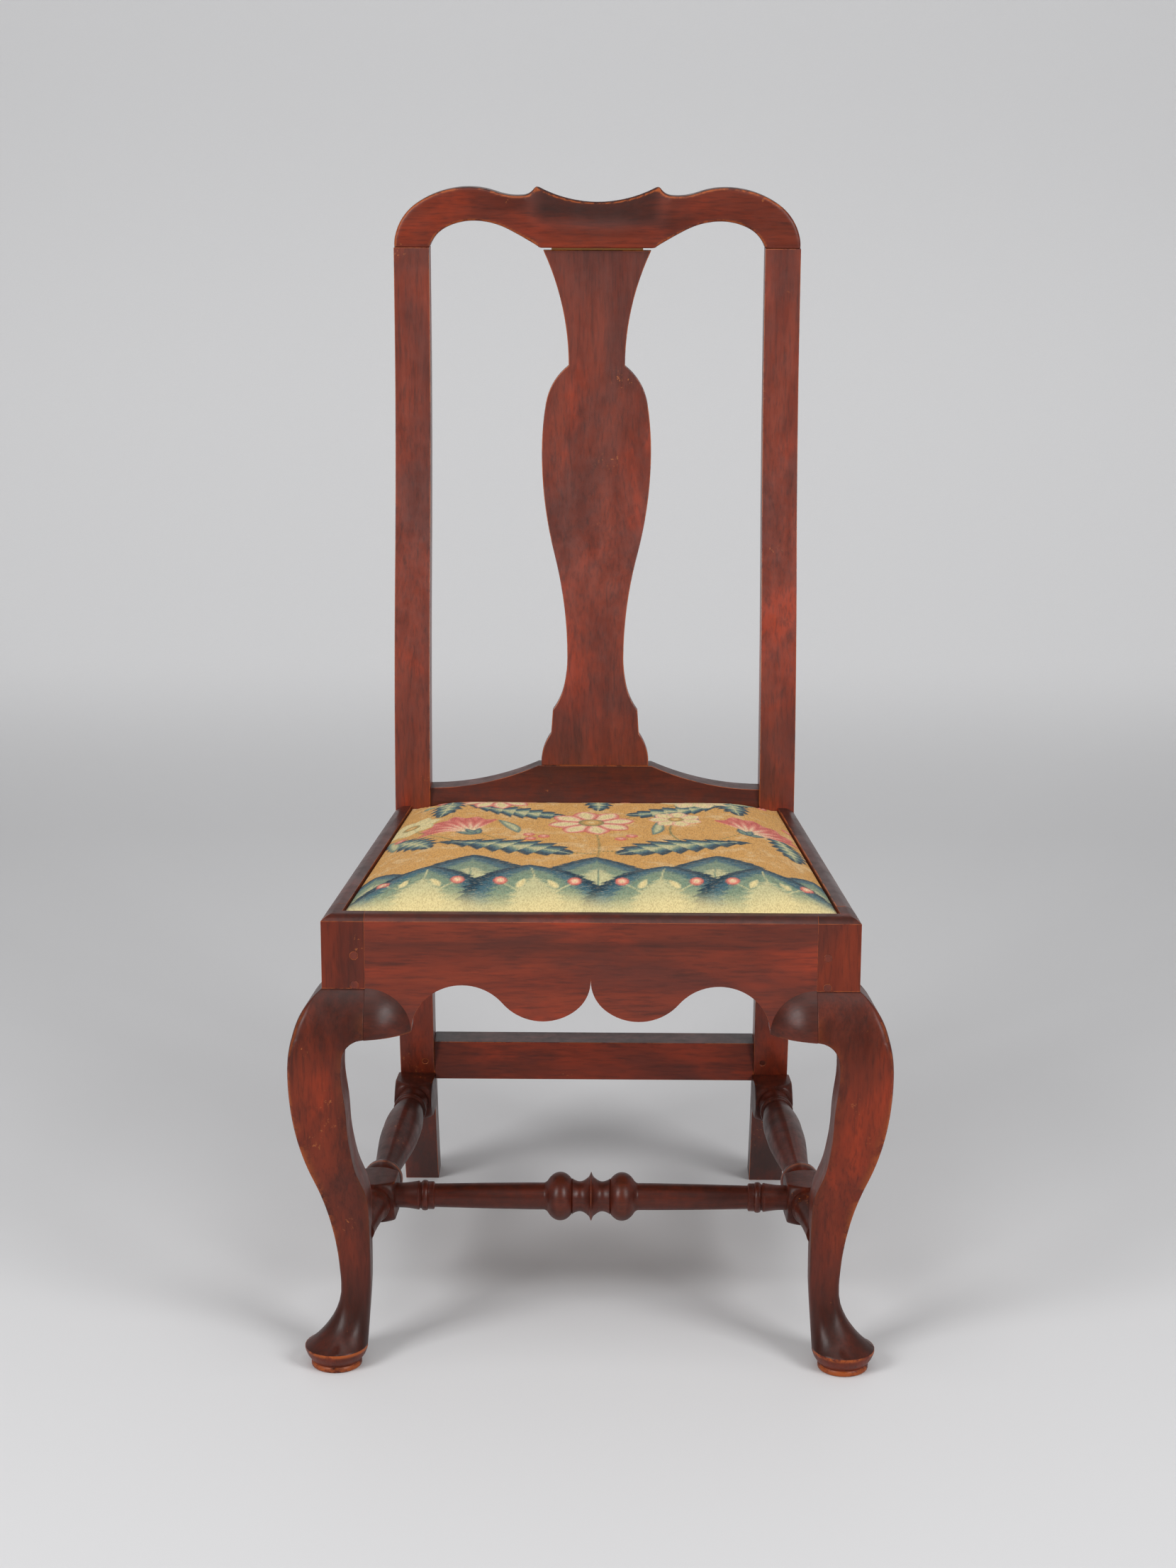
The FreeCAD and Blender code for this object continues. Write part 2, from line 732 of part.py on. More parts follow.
def turned(stations, start=Vector(0, 0, 0), axis=RIGHT):
    """Round work of narrow flats through (distance, radius) stations along an axis."""
    across = axis.cross(BACK)
    rings = []
    for distance, radius in stations:
        turns = [2 * math.pi * i / turning_flats for i in range(turning_flats)]
        rings.append([start + axis * distance + (BACK * math.cos(turn) + across * math.sin(turn)) * radius
                      for turn in turns])
    outlines = [rings[0], rings[-1]]
    for near, beyond in zip(rings, rings[1:]):
        for i in range(turning_flats):
            outlines.append([near[i - 1], near[i], beyond[i], beyond[i - 1]])
    return polygon_solid(outlines)


def swelling(start, end, radius, swell, shape):
    """Stations of a ring or ball between two distances; shape holds (share of width, share of swell)."""
    inner = [(start + (end - start) * run, radius + swell * rise) for run, rise in shape]
    return [(start, radius)] + inner + [(end, radius)]


bead_shape = ((0.22, 0.85), (0.78, 0.85))
ball_shape = ((0.09, 0.38), (0.25, 0.77), (0.5, 1), (0.75, 0.77), (0.91, 0.38))


def turned_block(start, length):
    """Square block left on a turning, its ends rounded down to the round work."""
    half = stretcher_block / 2
    cube = Part.makeBox(length, stretcher_block, stretcher_block, Vector(start, -half, -half))
    slope = 0.2 * length
    corner = half * math.sqrt(2)
    return cube.common(turned([(start, half), (start + slope, corner), (start + length - slope, corner),
                               (start + length, half)]))


leg_back = leg_inner(stretcher_height)
side_start = Vector(half_front - leg_back + stretcher_inset, at(leg_back), stretcher_height)
side_end = Vector(stile_centre, at(raked(stretcher_height)), stretcher_height)
side_direction = side_end - side_start
side_length = side_direction.Length
side_angle = math.degrees(math.atan2(side_direction.y, side_direction.x))
side_place = FreeCAD.Placement(side_start, FreeCAD.Rotation(UP, side_angle))
front_block_end = front_block_start + front_block_length
medial_spot = side_place.multVec(Vector(front_block_start + front_block_length / 2, 0, 0))
medial_half = medial_spot.x - stretcher_block / 2 / math.sin(math.radians(side_angle))


def side_tenon(start, length, extra):
    """Round tenon on the side stretcher's axis, or its mortise when made larger by extra."""
    rod = Part.makeCylinder(round_tenon_radius + extra, length + 2 * extra,
                            Vector(start - extra, 0, 0), RIGHT)
    rod.Placement = side_place
    return rod


def medial_tenon(extra):
    reach = medial_half + round_tenon_length + extra
    end = Vector(-reach, medial_spot.y, medial_spot.z)
    return Part.makeCylinder(round_tenon_radius + extra, 2 * reach, end, RIGHT)


def side_stretcher(leg, stile):
    """Turning with two square blocks and a long vase, its ends scribed to the leg and the stile."""
    rear_block = side_length - rear_block_length
    ring = 0.85 * stretcher_block / 2
    hollow = 0.7 * stretcher_block / 2
    inside = 2 * stretcher_end_radius
    cove_end = front_block_end + cove_length
    ring_end = cove_end + vase_ring_length
    neck = ring_end + vase_neck_length
    collar = rear_block - collar_length
    widest = neck + 0.66 * (collar - neck)
    taper = front_block_start - block_taper
    low_ring = 0.93 * ring
    stations = [(-inside, stretcher_end_radius), (0, stretcher_end_radius),
                (0.55 * front_block_start, 1.2 * stretcher_end_radius), (taper - turning_step, low_ring),
                (taper, ring), (front_block_end, ring), (front_block_end + 0.3 * cove_length, hollow),
                (front_block_end + 0.7 * cove_length, hollow)]
    stations += swelling(cove_end, ring_end, low_ring, vase_ring_radius - low_ring, bead_shape)
    stations += [(ring_end + turning_step, 1.16 * vase_neck_radius), (neck, vase_neck_radius)]
    for share in (0.2, 0.4, 0.6, 0.8, 1):
        throw = bend(share * (widest - neck), widest - neck, vase_radius - vase_neck_radius)
        stations.append((neck + share * (widest - neck), vase_neck_radius + throw))
    stations += [(widest + 0.5 * (collar - widest), 0.95 * vase_radius),
                 (collar - turning_step, 0.75 * vase_radius)]
    stations += swelling(collar, collar + collar_bead_width, low_ring, 0.1 * ring, bead_shape)
    stations += [(collar + 0.46 * collar_length, hollow), (rear_block - 0.25 * collar_length, hollow),
                 (rear_block, ring), (side_length + inside, ring)]
    work = fused([turned(stations), turned_block(front_block_start, front_block_length),
                  turned_block(rear_block, rear_block_length + inside)])
    work.Placement = side_place
    levels = [stretcher_height + share * stretcher_block for share in (-0.75, -0.25, 0.25, 0.75)]
    face = [Vector(stile_inner - stretcher_block, at(raked(z) + joint_clearance), z) for z in levels]
    reach = BACK * (rear_block_length + inside)
    behind = Part.Face(Part.makePolygon(face + [face[-1] + reach, face[0] + reach, face[0]]))
    work = work.cut(leg).cut(stile).cut(behind.extrude(RIGHT * (stile_width + 2 * stretcher_block)))
    work = work.cut(box(0, stile_inner, rear_stretcher_front - joint_clearance,
                        rear_stretcher_front + rear_stretcher_depth, rear_stretcher_bottom - joint_clearance,
                        rear_stretcher_top))
    work = max(work.Solids, key=lambda solid: solid.Volume)
    front_rod = side_tenon(-round_tenon_length, 2 * round_tenon_length, 0)
    rear_rod = side_tenon(side_length - round_tenon_length, 2 * round_tenon_length, 0)
    return one_solid(fused([work, front_rod, rear_rod]))


def medial_stretcher(stretcher):
    """Long turning with a ring between two balls and beaded ends, scribed to the side stretchers."""
    reel_end = medial_ring_half_width + medial_reel_width
    ball_end = reel_end + medial_ball_width
    flare_start = medial_half - medial_flare_length
    bead_start = flare_start - medial_bead_setback
    step_start = bead_start - medial_land_width
    land = 1.18 * medial_end_radius
    reel = 1.07 * medial_reel_radius
    half = [(medial_ring_half_width, medial_ball_radius - 2 * medial_ring_half_width),
            (medial_ring_half_width + 0.45 * medial_reel_width, medial_reel_radius)]
    half += swelling(reel_end, ball_end, reel, medial_ball_radius - reel, ball_shape)
    half += [(ball_end + turning_step, medial_radius), (step_start, medial_end_radius),
             (step_start + turning_step, land)]
    half += swelling(bead_start, bead_start + medial_bead_width, land, medial_bead_radius - land, bead_shape)
    half += [(flare_start, 0.96 * land), (flare_start + turning_step, 1.05 * land),
             (flare_start + 0.45 * medial_flare_length, 1.09 * medial_end_radius),
             (medial_half + stretcher_end_radius, 1.055 * medial_end_radius)]
    stations = [(-s, r) for s, r in reversed(half)] + [(0, medial_ball_radius)] + half
    work = turned(stations, Vector(0, medial_spot.y, medial_spot.z))
    work = work.cut(stretcher).cut(mirrored(stretcher))
    work = max(work.Solids, key=lambda solid: solid.Volume)
    return one_solid(fused([work, medial_tenon(0)]))


rear_stretcher_top = rear_stretcher_bottom + rear_stretcher_height
rear_stretcher_middle = (rear_stretcher_bottom + rear_stretcher_top) / 2
rear_stretcher_front = raked(rear_stretcher_middle) + rear_stretcher_setback
rear_stretcher_tenon_front = rear_stretcher_front + (rear_stretcher_depth - rail_tenon_thickness) / 2
rear_stretcher_tenon = box(stile_inner, stile_inner + 1.6 * rear_tenon_length, rear_stretcher_tenon_front,
                           rear_stretcher_tenon_front + rail_tenon_thickness,
                           rear_stretcher_bottom + tenon_shoulder, rear_stretcher_top - tenon_shoulder)


def rear_stretcher():
    rail = box(-stile_inner, stile_inner, rear_stretcher_front, rear_stretcher_front + rear_stretcher_depth,
               rear_stretcher_bottom, rear_stretcher_top)
    return fused([rail, rear_stretcher_tenon, mirrored(rear_stretcher_tenon)])


# Pegs of the joined frame, right-hand side

peg_upper_height = rail_edge_height - peg_upper_drop
peg_lower_height = rail_edge_height - peg_lower_drop
peg_heights = (peg_upper_height, peg_lower_height)


def front_pegs(width):
    return [peg(Vector(seam_x + peg_edge_distance, at(0), z), BACK, peg_length, width) for z in peg_heights]


def side_pegs(width):
    depth = post_width - peg_edge_distance
    inward = Vector(-1, -splay, 0)
    return [peg(Vector(side_x(depth), at(depth), z), inward, side_peg_length, width) for z in peg_heights]


def stile_pegs(width):
    depth = seat_depth + peg_edge_distance
    return [peg(Vector(half_back, at(depth), z), -RIGHT, side_peg_length, width)
            for z in (peg_upper_height - stile_peg_shift, peg_lower_height + stile_peg_shift)]


def stretcher_pegs(width):
    z = rear_stretcher_middle
    start = Vector(stile_inner + peg_edge_distance, at(raked(z) - peg_length), z)
    return [peg(start, BACK, 2 * peg_length + stile_depth / 4, width)]


# Slip seat

seat_bottom = ledge_height + seat_rest_gap
member_bottom = seat_bottom + cover_thickness
member_top = member_bottom + seat_member_thickness
web_low = member_top
web_high = member_top + web_thickness + layer_gap
sack_bottom = web_high + web_thickness + layer_gap
stuffing_bottom = sack_bottom + sack_thickness + layer_gap
cover_edge = stuffing_bottom
frame_inset = seat_gap + cover_thickness


def crown(inset, bottom):
    """Domed pad, drawn in by inset: every side rises in a rounded slope of flats to the level top."""
    shoulder = Vector(0.09 * crown_inset, 0, 0.5 * crown_rise)
    rounded, tangent = smooth_arc(Vector(0, 0, 0), Vector(0.6, 0, 1), shoulder)
    slope = [rounded] + smooth_pair(shoulder, tangent, Vector(crown_inset, 0, crown_rise), RIGHT)
    stations = [(0, 0)]
    for edge in slope:
        stations += [(point.x, point.z) for point in edge.discretize(crown_steps + 1)[1:]]
    rings = []
    for run, rise in stations:
        rings.append([Vector(x, at(depth), bottom + rise) for x, depth in seat_corners(inset + run)])
    outlines = [rings[0], rings[-1]]
    for near, beyond in zip(rings, rings[1:]):
        for i in range(4):
            outlines.append([near[i - 1], near[i], beyond[i], beyond[i - 1]])
    return polygon_solid(outlines)


def seat_member_corners():
    """Outer and inner plan corners of the slip seat's frame."""
    return seat_corners(frame_inset), seat_corners(frame_inset + seat_member_width)


def seat_frame():
    """Side members run through; front and back members are tenoned between them."""
    outer, inner = seat_member_corners()
    across = {}
    lower = member_bottom + seat_member_thickness / 3
    upper = member_top - seat_member_thickness / 3
    reach = 0.6 * seat_member_width
    left_side = plan_prism([outer[0], (inner[0][0], outer[0][1]), (inner[3][0], outer[3][1]), outer[3]],
                           member_bottom, member_top)
    tenons = {}
    for name, depth0, depth1 in (("front", outer[0][1], inner[0][1]), ("back", inner[3][1], outer[3][1])):
        slope = (inner[3][0] - inner[0][0]) / (outer[3][1] - outer[0][1])
        x_front = inner[0][0] + slope * (depth0 - outer[0][1])
        x_back = inner[0][0] + slope * (depth1 - outer[0][1])
        member = plan_prism([(x_front, depth0), (-x_front, depth0), (-x_back, depth1), (x_back, depth1)],
                            member_bottom, member_top)
        tenons[name] = box(x_front - reach, -x_front + reach,
                           depth0 + tenon_shoulder, depth1 - tenon_shoulder, lower, upper)
        left_side = left_side.cut(grown(tenons[name]))
        across[name] = fused([member, tenons[name]])
    return across["front"], across["back"], left_side, tenons


def seat_frame_pegs(width, tenons):
    """One upright peg through each corner joint of the slip seat's frame."""
    found = []
    for tenon in tenons.values():
        b = tenon.BoundBox
        for x in (b.XMin + 0.35 * seat_member_width, b.XMax - 0.35 * seat_member_width):
            found.append(Part.makeBox(width, width, seat_member_thickness,
                                      Vector(x - width / 2, (b.YMin + b.YMax - width) / 2, member_bottom)))
    return found


def web_places(start, end):
    """Centres of the webs spaced evenly across the open frame."""
    return [start + (end - start) * (i + 0.5) / web_count for i in range(web_count)]


def woven_band(start, end, crossings, first_up, place, width):
    """Webbing that passes over and under its neighbours, as a bent strip of even thickness."""
    half = web_width / 2
    levels = [(start, 0)]
    for i, middle in enumerate(crossings):
        up = (i + first_up) % 2
        levels += [(middle - half - web_slack, up), (middle + half + web_slack, up)]
    levels.append((end, 0))
    rise = web_high - web_low
    lower = [place(run, web_low + rise * up) for run, up in levels]
    upper = [place(run, web_low + rise * up + web_thickness) for run, up in reversed(levels)]
    loop = lower + upper
    return Part.Face(Part.makePolygon(loop + loop[:1])).extrude(width)


def webbing():
    """Interlaced linen bands: front to back, and side to side."""
    outer, inner = seat_member_corners()
    edge = 0.25 * seat_member_width
    columns = web_places(inner[3][0], inner[2][0])
    rows = web_places(inner[0][1], inner[3][1])
    lengthwise = []
    crosswise = []
    for i, x in enumerate(columns):
        def along(run, z):
            return Vector(x - web_width / 2, at(run), z)
        lengthwise.append(woven_band(outer[0][1] + edge, outer[3][1] - edge, rows, i % 2, along,
                                     RIGHT * web_width))
    for j, depth in enumerate(rows):
        reach = side_x(depth, lip_width + frame_inset) - edge

        def across(run, z):
            return Vector(run, at(depth - web_width / 2), z)
        crosswise.append(woven_band(-reach, reach, columns, (j + 1) % 2, across, BACK * web_width))
    return lengthwise, crosswise


def tack(x, depth, seat, pointing):
    """Hand-forged tack: square head and shank, pointing up or down from its seat."""
    def bar(width, run):
        corner = Vector(x - width / 2, at(depth) - width / 2, min(seat, seat + run))
        return Part.makeBox(width, width, abs(run), corner)

    head = bar(tack_head_width, -pointing * tack_head_height)
    return fused([head, bar(tack_shank, pointing * tack_length)])


def cover_tacks():
    """Tacks through the turned-under edge of the cover, driven up into the frame."""
    corners = seat_corners(seat_gap + tack_inset)
    left_front, right_front, right_back, left_back = corners
    found = []
    for start, end in ((left_front, right_front), (left_back, right_back),
                       (left_front, left_back), (right_front, right_back)):
        for i in range(side_tack_count):
            share = (i + 1) / (side_tack_count + 1)
            x = start[0] + (end[0] - start[0]) * share
            depth = start[1] + (end[1] - start[1]) * share
            found.append(tack(x, depth, seat_bottom, 1))
    return found


def webbing_tacks(bands_along, bands_across):
    """A tack through each end of every band, driven down into the frame."""
    found = []
    setback = 0.2 * seat_member_width
    for band in bands_along:
        b = band.BoundBox
        for y in (b.YMin + setback, b.YMax - setback):
            found.append(tack(b.Center.x, y - front_y, web_low + web_thickness, -1))
    for band in bands_across:
        b = band.BoundBox
        for x in (b.XMin + setback, b.XMax - setback):
            found.append(tack(x, b.Center.y - front_y, web_low + web_thickness, -1))
    return found


def needlework_cover():
    """Cover drawn over the crown, down the frame's sides and under its edge as a flange."""
    outside = plan_prism(seat_corners(seat_gap), seat_bottom, cover_edge)
    inside = plan_prism(seat_corners(frame_inset), member_bottom, cover_edge)
    opening = plan_prism(seat_corners(seat_gap + cover_flange), seat_bottom, member_bottom)
    shell = fused([outside, crown(seat_gap, cover_edge)])
    return shell.cut(inside).cut(crown(frame_inset, cover_edge - cover_thickness)).cut(opening)


def build():
    """All nodes of the chair by name."""
    leg = front_leg()
    stile = rear_stile()
    stretcher = side_stretcher(leg, stile)
    medial = medial_stretcher(stretcher)
    stretcher = stretcher.cut(medial_tenon(joint_clearance))
    front_rail = front_seat_rail()
    side_rail = side_seat_rail()
    rear_rail = rear_seat_rail()
    rear_bar = rear_stretcher()
    rear_pegs = [one.common(stile.fuse(rear_bar)) for one in stretcher_pegs(small_peg_width)]

    hole = peg_width + 2 * joint_clearance
    small_hole = small_peg_width + 2 * joint_clearance
    for tool in ([grown(front_tenon), grown(side_front_tenon)] + front_pegs(hole) + side_pegs(hole)
                 + [side_tenon(-round_tenon_length, 2 * round_tenon_length, joint_clearance)]):
        leg = leg.cut(tool)
    for tool in ([grown(side_rear_tenon), grown(rear_rail_tenon), grown(rear_stretcher_tenon)]
                 + stile_pegs(hole) + stretcher_pegs(small_hole)
                 + [side_tenon(side_length - round_tenon_length, 2 * round_tenon_length, joint_clearance)]):
        stile = stile.cut(tool)
    for tool in side_pegs(hole) + stile_pegs(hole):
        side_rail = side_rail.cut(tool)
    for tool in front_pegs(hole):
        front_rail = front_rail.cut(tool).cut(mirrored(tool))
    for tool in stretcher_pegs(small_hole):
        rear_bar = rear_bar.cut(tool).cut(mirrored(tool))
    front_bracket = knee_bracket(Vector(seam_x, at(0), 0), -RIGHT, -BACK)
    side_bracket = knee_bracket(Vector(side_x(post_width), at(post_width), 0), side_along, -side_inward)

    nodes = {
        "crest_rail": crest_rail(),
        "back_splat": back_splat(),
        "splat_shoe": splat_shoe(),
        "front_seat_rail": front_rail,
        "rear_seat_rail": rear_rail,
        "medial_stretcher": medial,
        "rear_stretcher": rear_bar,
    }
    pairs = {
        "front_leg": leg,
        "rear_stile": stile,
        "side_seat_rail": side_rail,
        "knee_bracket_front": front_bracket,
        "knee_bracket_side": side_bracket,
        "corner_block": corner_block(),
        "side_stretcher": stretcher,
    }
    for name, shape in pairs.items():
        nodes[name + "_right"] = shape
        nodes[name + "_left"] = mirrored(shape)
    groups = {
        "front_rail_pegs": front_pegs(peg_width),
        "side_rail_front_pegs": side_pegs(peg_width),
        "side_rail_rear_pegs": stile_pegs(peg_width),
        "rear_stretcher_pegs": rear_pegs,
    }
    for name, shapes in groups.items():
        nodes[name] = Part.makeCompound(shapes + [mirrored(one) for one in shapes])
    nodes.update(slip_seat())
    return nodes


def slip_seat():
    """Nodes of the seat that lifts out in one piece."""
    front, back, left, tenons = seat_frame()
    right = mirrored(left)
    for hole in seat_frame_pegs(small_peg_width + 2 * joint_clearance, tenons):
        front, back, left, right = [member.cut(hole) for member in (front, back, left, right)]
    along, across = webbing()
    web_tacks = webbing_tacks(along, across)
    edge_tacks = cover_tacks()
    cover = needlework_cover()
    for one in web_tacks:
        front, back, left, right = [member.cut(one) for member in (front, back, left, right)]
        along = [band.cut(one) for band in along]
        across = [band.cut(one) for band in across]
    for one in edge_tacks:
        front, back, left, right = [member.cut(one) for member in (front, back, left, right)]
        cover = cover.cut(one)
    sack = plan_prism(seat_corners(frame_inset + cover_thickness), sack_bottom, sack_bottom + sack_thickness)
    stuffing = crown(frame_inset + stuffing_gap, cover_edge - cover_thickness - stuffing_gap)
    stuffing = stuffing.common(box(-far, far, 0, seat_depth, stuffing_bottom, stuffing_bottom + far))
    return {
        "seat_frame_front": front,
        "seat_frame_back": back,
        "seat_frame_left": left,
        "seat_frame_right": right,
        "seat_frame_pegs": Part.makeCompound(seat_frame_pegs(small_peg_width, tenons)),
        "webbing_lengthwise": Part.makeCompound(along),
        "webbing_crosswise": Part.makeCompound(across),
        "webbing_tacks": Part.makeCompound(web_tacks),
        "sackcloth": sack,
        "seat_stuffing": stuffing,
        "needlework_cover": cover,
        "cover_tacks": Part.makeCompound(edge_tacks),
    }


os.makedirs("parts", exist_ok=True)
for node, shape in build().items():
    shape.exportStep(os.path.join("parts", node + ".step"))
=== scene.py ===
import bpy
import bmesh
import math
import numpy as np
from mathutils import Euler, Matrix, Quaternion, Vector


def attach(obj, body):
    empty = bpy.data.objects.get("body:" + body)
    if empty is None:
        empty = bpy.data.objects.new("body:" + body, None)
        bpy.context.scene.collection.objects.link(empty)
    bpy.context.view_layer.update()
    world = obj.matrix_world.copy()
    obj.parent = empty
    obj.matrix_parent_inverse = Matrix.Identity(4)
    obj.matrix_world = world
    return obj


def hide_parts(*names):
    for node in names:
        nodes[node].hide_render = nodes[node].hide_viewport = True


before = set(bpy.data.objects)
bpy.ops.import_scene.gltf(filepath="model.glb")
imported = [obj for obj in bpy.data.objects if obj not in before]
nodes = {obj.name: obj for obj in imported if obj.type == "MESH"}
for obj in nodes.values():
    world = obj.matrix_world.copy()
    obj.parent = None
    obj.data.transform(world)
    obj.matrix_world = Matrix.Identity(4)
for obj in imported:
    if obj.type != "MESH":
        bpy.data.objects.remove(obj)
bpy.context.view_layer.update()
scene = bpy.context.scene

# Sizes taken from the solids, in metres
BLOCK_BOTTOM = 0.359
APRON_END = 0.319
SEAM_X = 0.1974
FRONT_Y = -0.227
HALF_FRONT = 0.235
POST_WIDTH = 0.0376
SPLAY = 0.09893
OUTWARD = Vector((1.0, SPLAY, 0.0)).normalized()
ALONG = Vector((-SPLAY, 1.0, 0.0)).normalized()
PAD_CENTRE = Vector((0.229, -0.221, 0.0))
STRETCHER_Z = 0.118
SIDE_START = Vector((0.2051, -0.1895, STRETCHER_Z))
SIDE_END = Vector((0.18075, 0.17102, STRETCHER_Z))
STILE_RAKE = 0.2554
X, Y, Z = 0, 1, 2


def linear(color):
    """Colour in linear light from one read on a screen, 0 to 1."""
    color = np.asarray(color, float)
    return np.where(color <= 0.04045, color / 12.92, ((color + 0.055) / 1.055) ** 2.4)


def srgb(red, green, blue):
    """Opaque colour for a material from one read on a screen."""
    return tuple(float(value) for value in linear((red, green, blue))) + (1.0,)


def added(name, data):
    """New object in the scene."""
    thing = bpy.data.objects.new(name, data)
    scene.collection.objects.link(thing)
    return thing


def smooth(value, low, high):
    """0 below low, 1 above high, and an S-curve between; works on numbers and arrays."""
    t = np.clip((np.asarray(value, float) - low) / (high - low), 0.0, 1.0)
    return t * t * (3 - 2 * t)


# Materials

class Shader:
    """One material, with short calls that add its nodes."""

    def __init__(self, name):
        self.material = bpy.data.materials.new(name)
        self.material.use_nodes = True
        self.tree = self.material.node_tree
        self.surface = self.tree.nodes["Principled BSDF"]

    def add(self, kind, inputs=None, **settings):
        node = self.tree.nodes.new("ShaderNode" + kind)
        for key, value in settings.items():
            setattr(node, key, value)
        for key, value in (inputs or {}).items():
            self.put(node.inputs[key], value)
        return node

    def put(self, socket, value):
        if hasattr(value, "is_output"):
            self.tree.links.new(value, socket)
        else:
            socket.default_value = value

    def place(self, scale=(1, 1, 1), shift=(0, 0, 0)):
        """Object coordinates in metres, scaled along each axis."""
        coords = self.add("TexCoord").outputs["Object"]
        inputs = {"Vector": coords, "Location": shift, "Scale": scale}
        return self.add("Mapping", inputs).outputs["Vector"]

    def noise(self, vector, scale, detail=4.0, rough=0.55, distort=0.0):
        inputs = {"Vector": vector, "Scale": scale, "Detail": detail, "Roughness": rough,
                  "Distortion": distort}
        return self.add("TexNoise", inputs).outputs["Fac"]

    def ramp(self, value, low, high, to_low=0.0, to_high=1.0):
        """S-curve from to_low, where the value is low, to to_high, where it is high."""
        inputs = {"Value": value, "From Min": low, "From Max": high, "To Min": to_low, "To Max": to_high}
        return self.add("MapRange", inputs, interpolation_type="SMOOTHSTEP").outputs["Result"]

    def math(self, operation, a, b=0.0):
        return self.add("Math", {0: a, 1: b}, operation=operation).outputs["Value"]

    def times(self, a, b):
        return self.math("MULTIPLY", a, b)

    def mix(self, factor, a, b, blend="MIX"):
        node = self.add("Mix", data_type="RGBA", blend_type=blend)
        self.put(node.inputs["Factor"], factor)
        for key, value in (("A", a), ("B", b)):
            self.put([s for s in node.inputs if s.name == key and s.type == "RGBA"][0], value)
        return [s for s in node.outputs if s.type == "RGBA"][0]

    def attribute(self, name, kind="Fac"):
        return self.add("Attribute", attribute_name=name).outputs[kind]

    def facing_up(self):
        """Upward share of the surface's direction."""
        normal = self.add("NewGeometry").outputs["Normal"]
        return self.add("SeparateXYZ", {0: normal}).outputs["Z"]

    def bump(self, height, strength, distance):
        inputs = {"Height": height, "Strength": strength, "Distance": distance}
        return self.add("Bump", inputs).outputs["Normal"]

    def finish(self, color, roughness, normal=None, **constants):
        self.put(self.surface.inputs["Base Color"], color)
        self.put(self.surface.inputs["Roughness"], roughness)
        if normal is not None:
            self.put(self.surface.inputs["Normal"], normal)
        for key, value in constants.items():
            self.surface.inputs[key.replace("_", " ")].default_value = value
        return self.material


STAIN = srgb(0.414, 0.151, 0.084)
STAIN_PALE = srgb(0.48, 0.184, 0.1)
STAIN_WARM = srgb(0.59, 0.205, 0.095)
STAIN_GREY = srgb(0.29, 0.145, 0.12)
BROAD_STREAK = srgb(0.18, 0.095, 0.075)
GRAIN_LINE = srgb(0.2, 0.095, 0.07)
PORE = srgb(0.2, 0.095, 0.075)
# Colour of dirt, also used for painted shade
SMOKE_AND_SHADE = srgb(0.15, 0.078, 0.06)
RUBBED = srgb(0.64, 0.32, 0.14)
CHIPPED = srgb(0.66, 0.38, 0.2)
BARE_WOOD = srgb(0.72, 0.5, 0.25)


def drawn_out(grain, share):
    """Scale of a pattern that is longer along the grain axis."""
    scale = [1.0, 1.0, 1.0]
    scale[grain] = share
    return scale


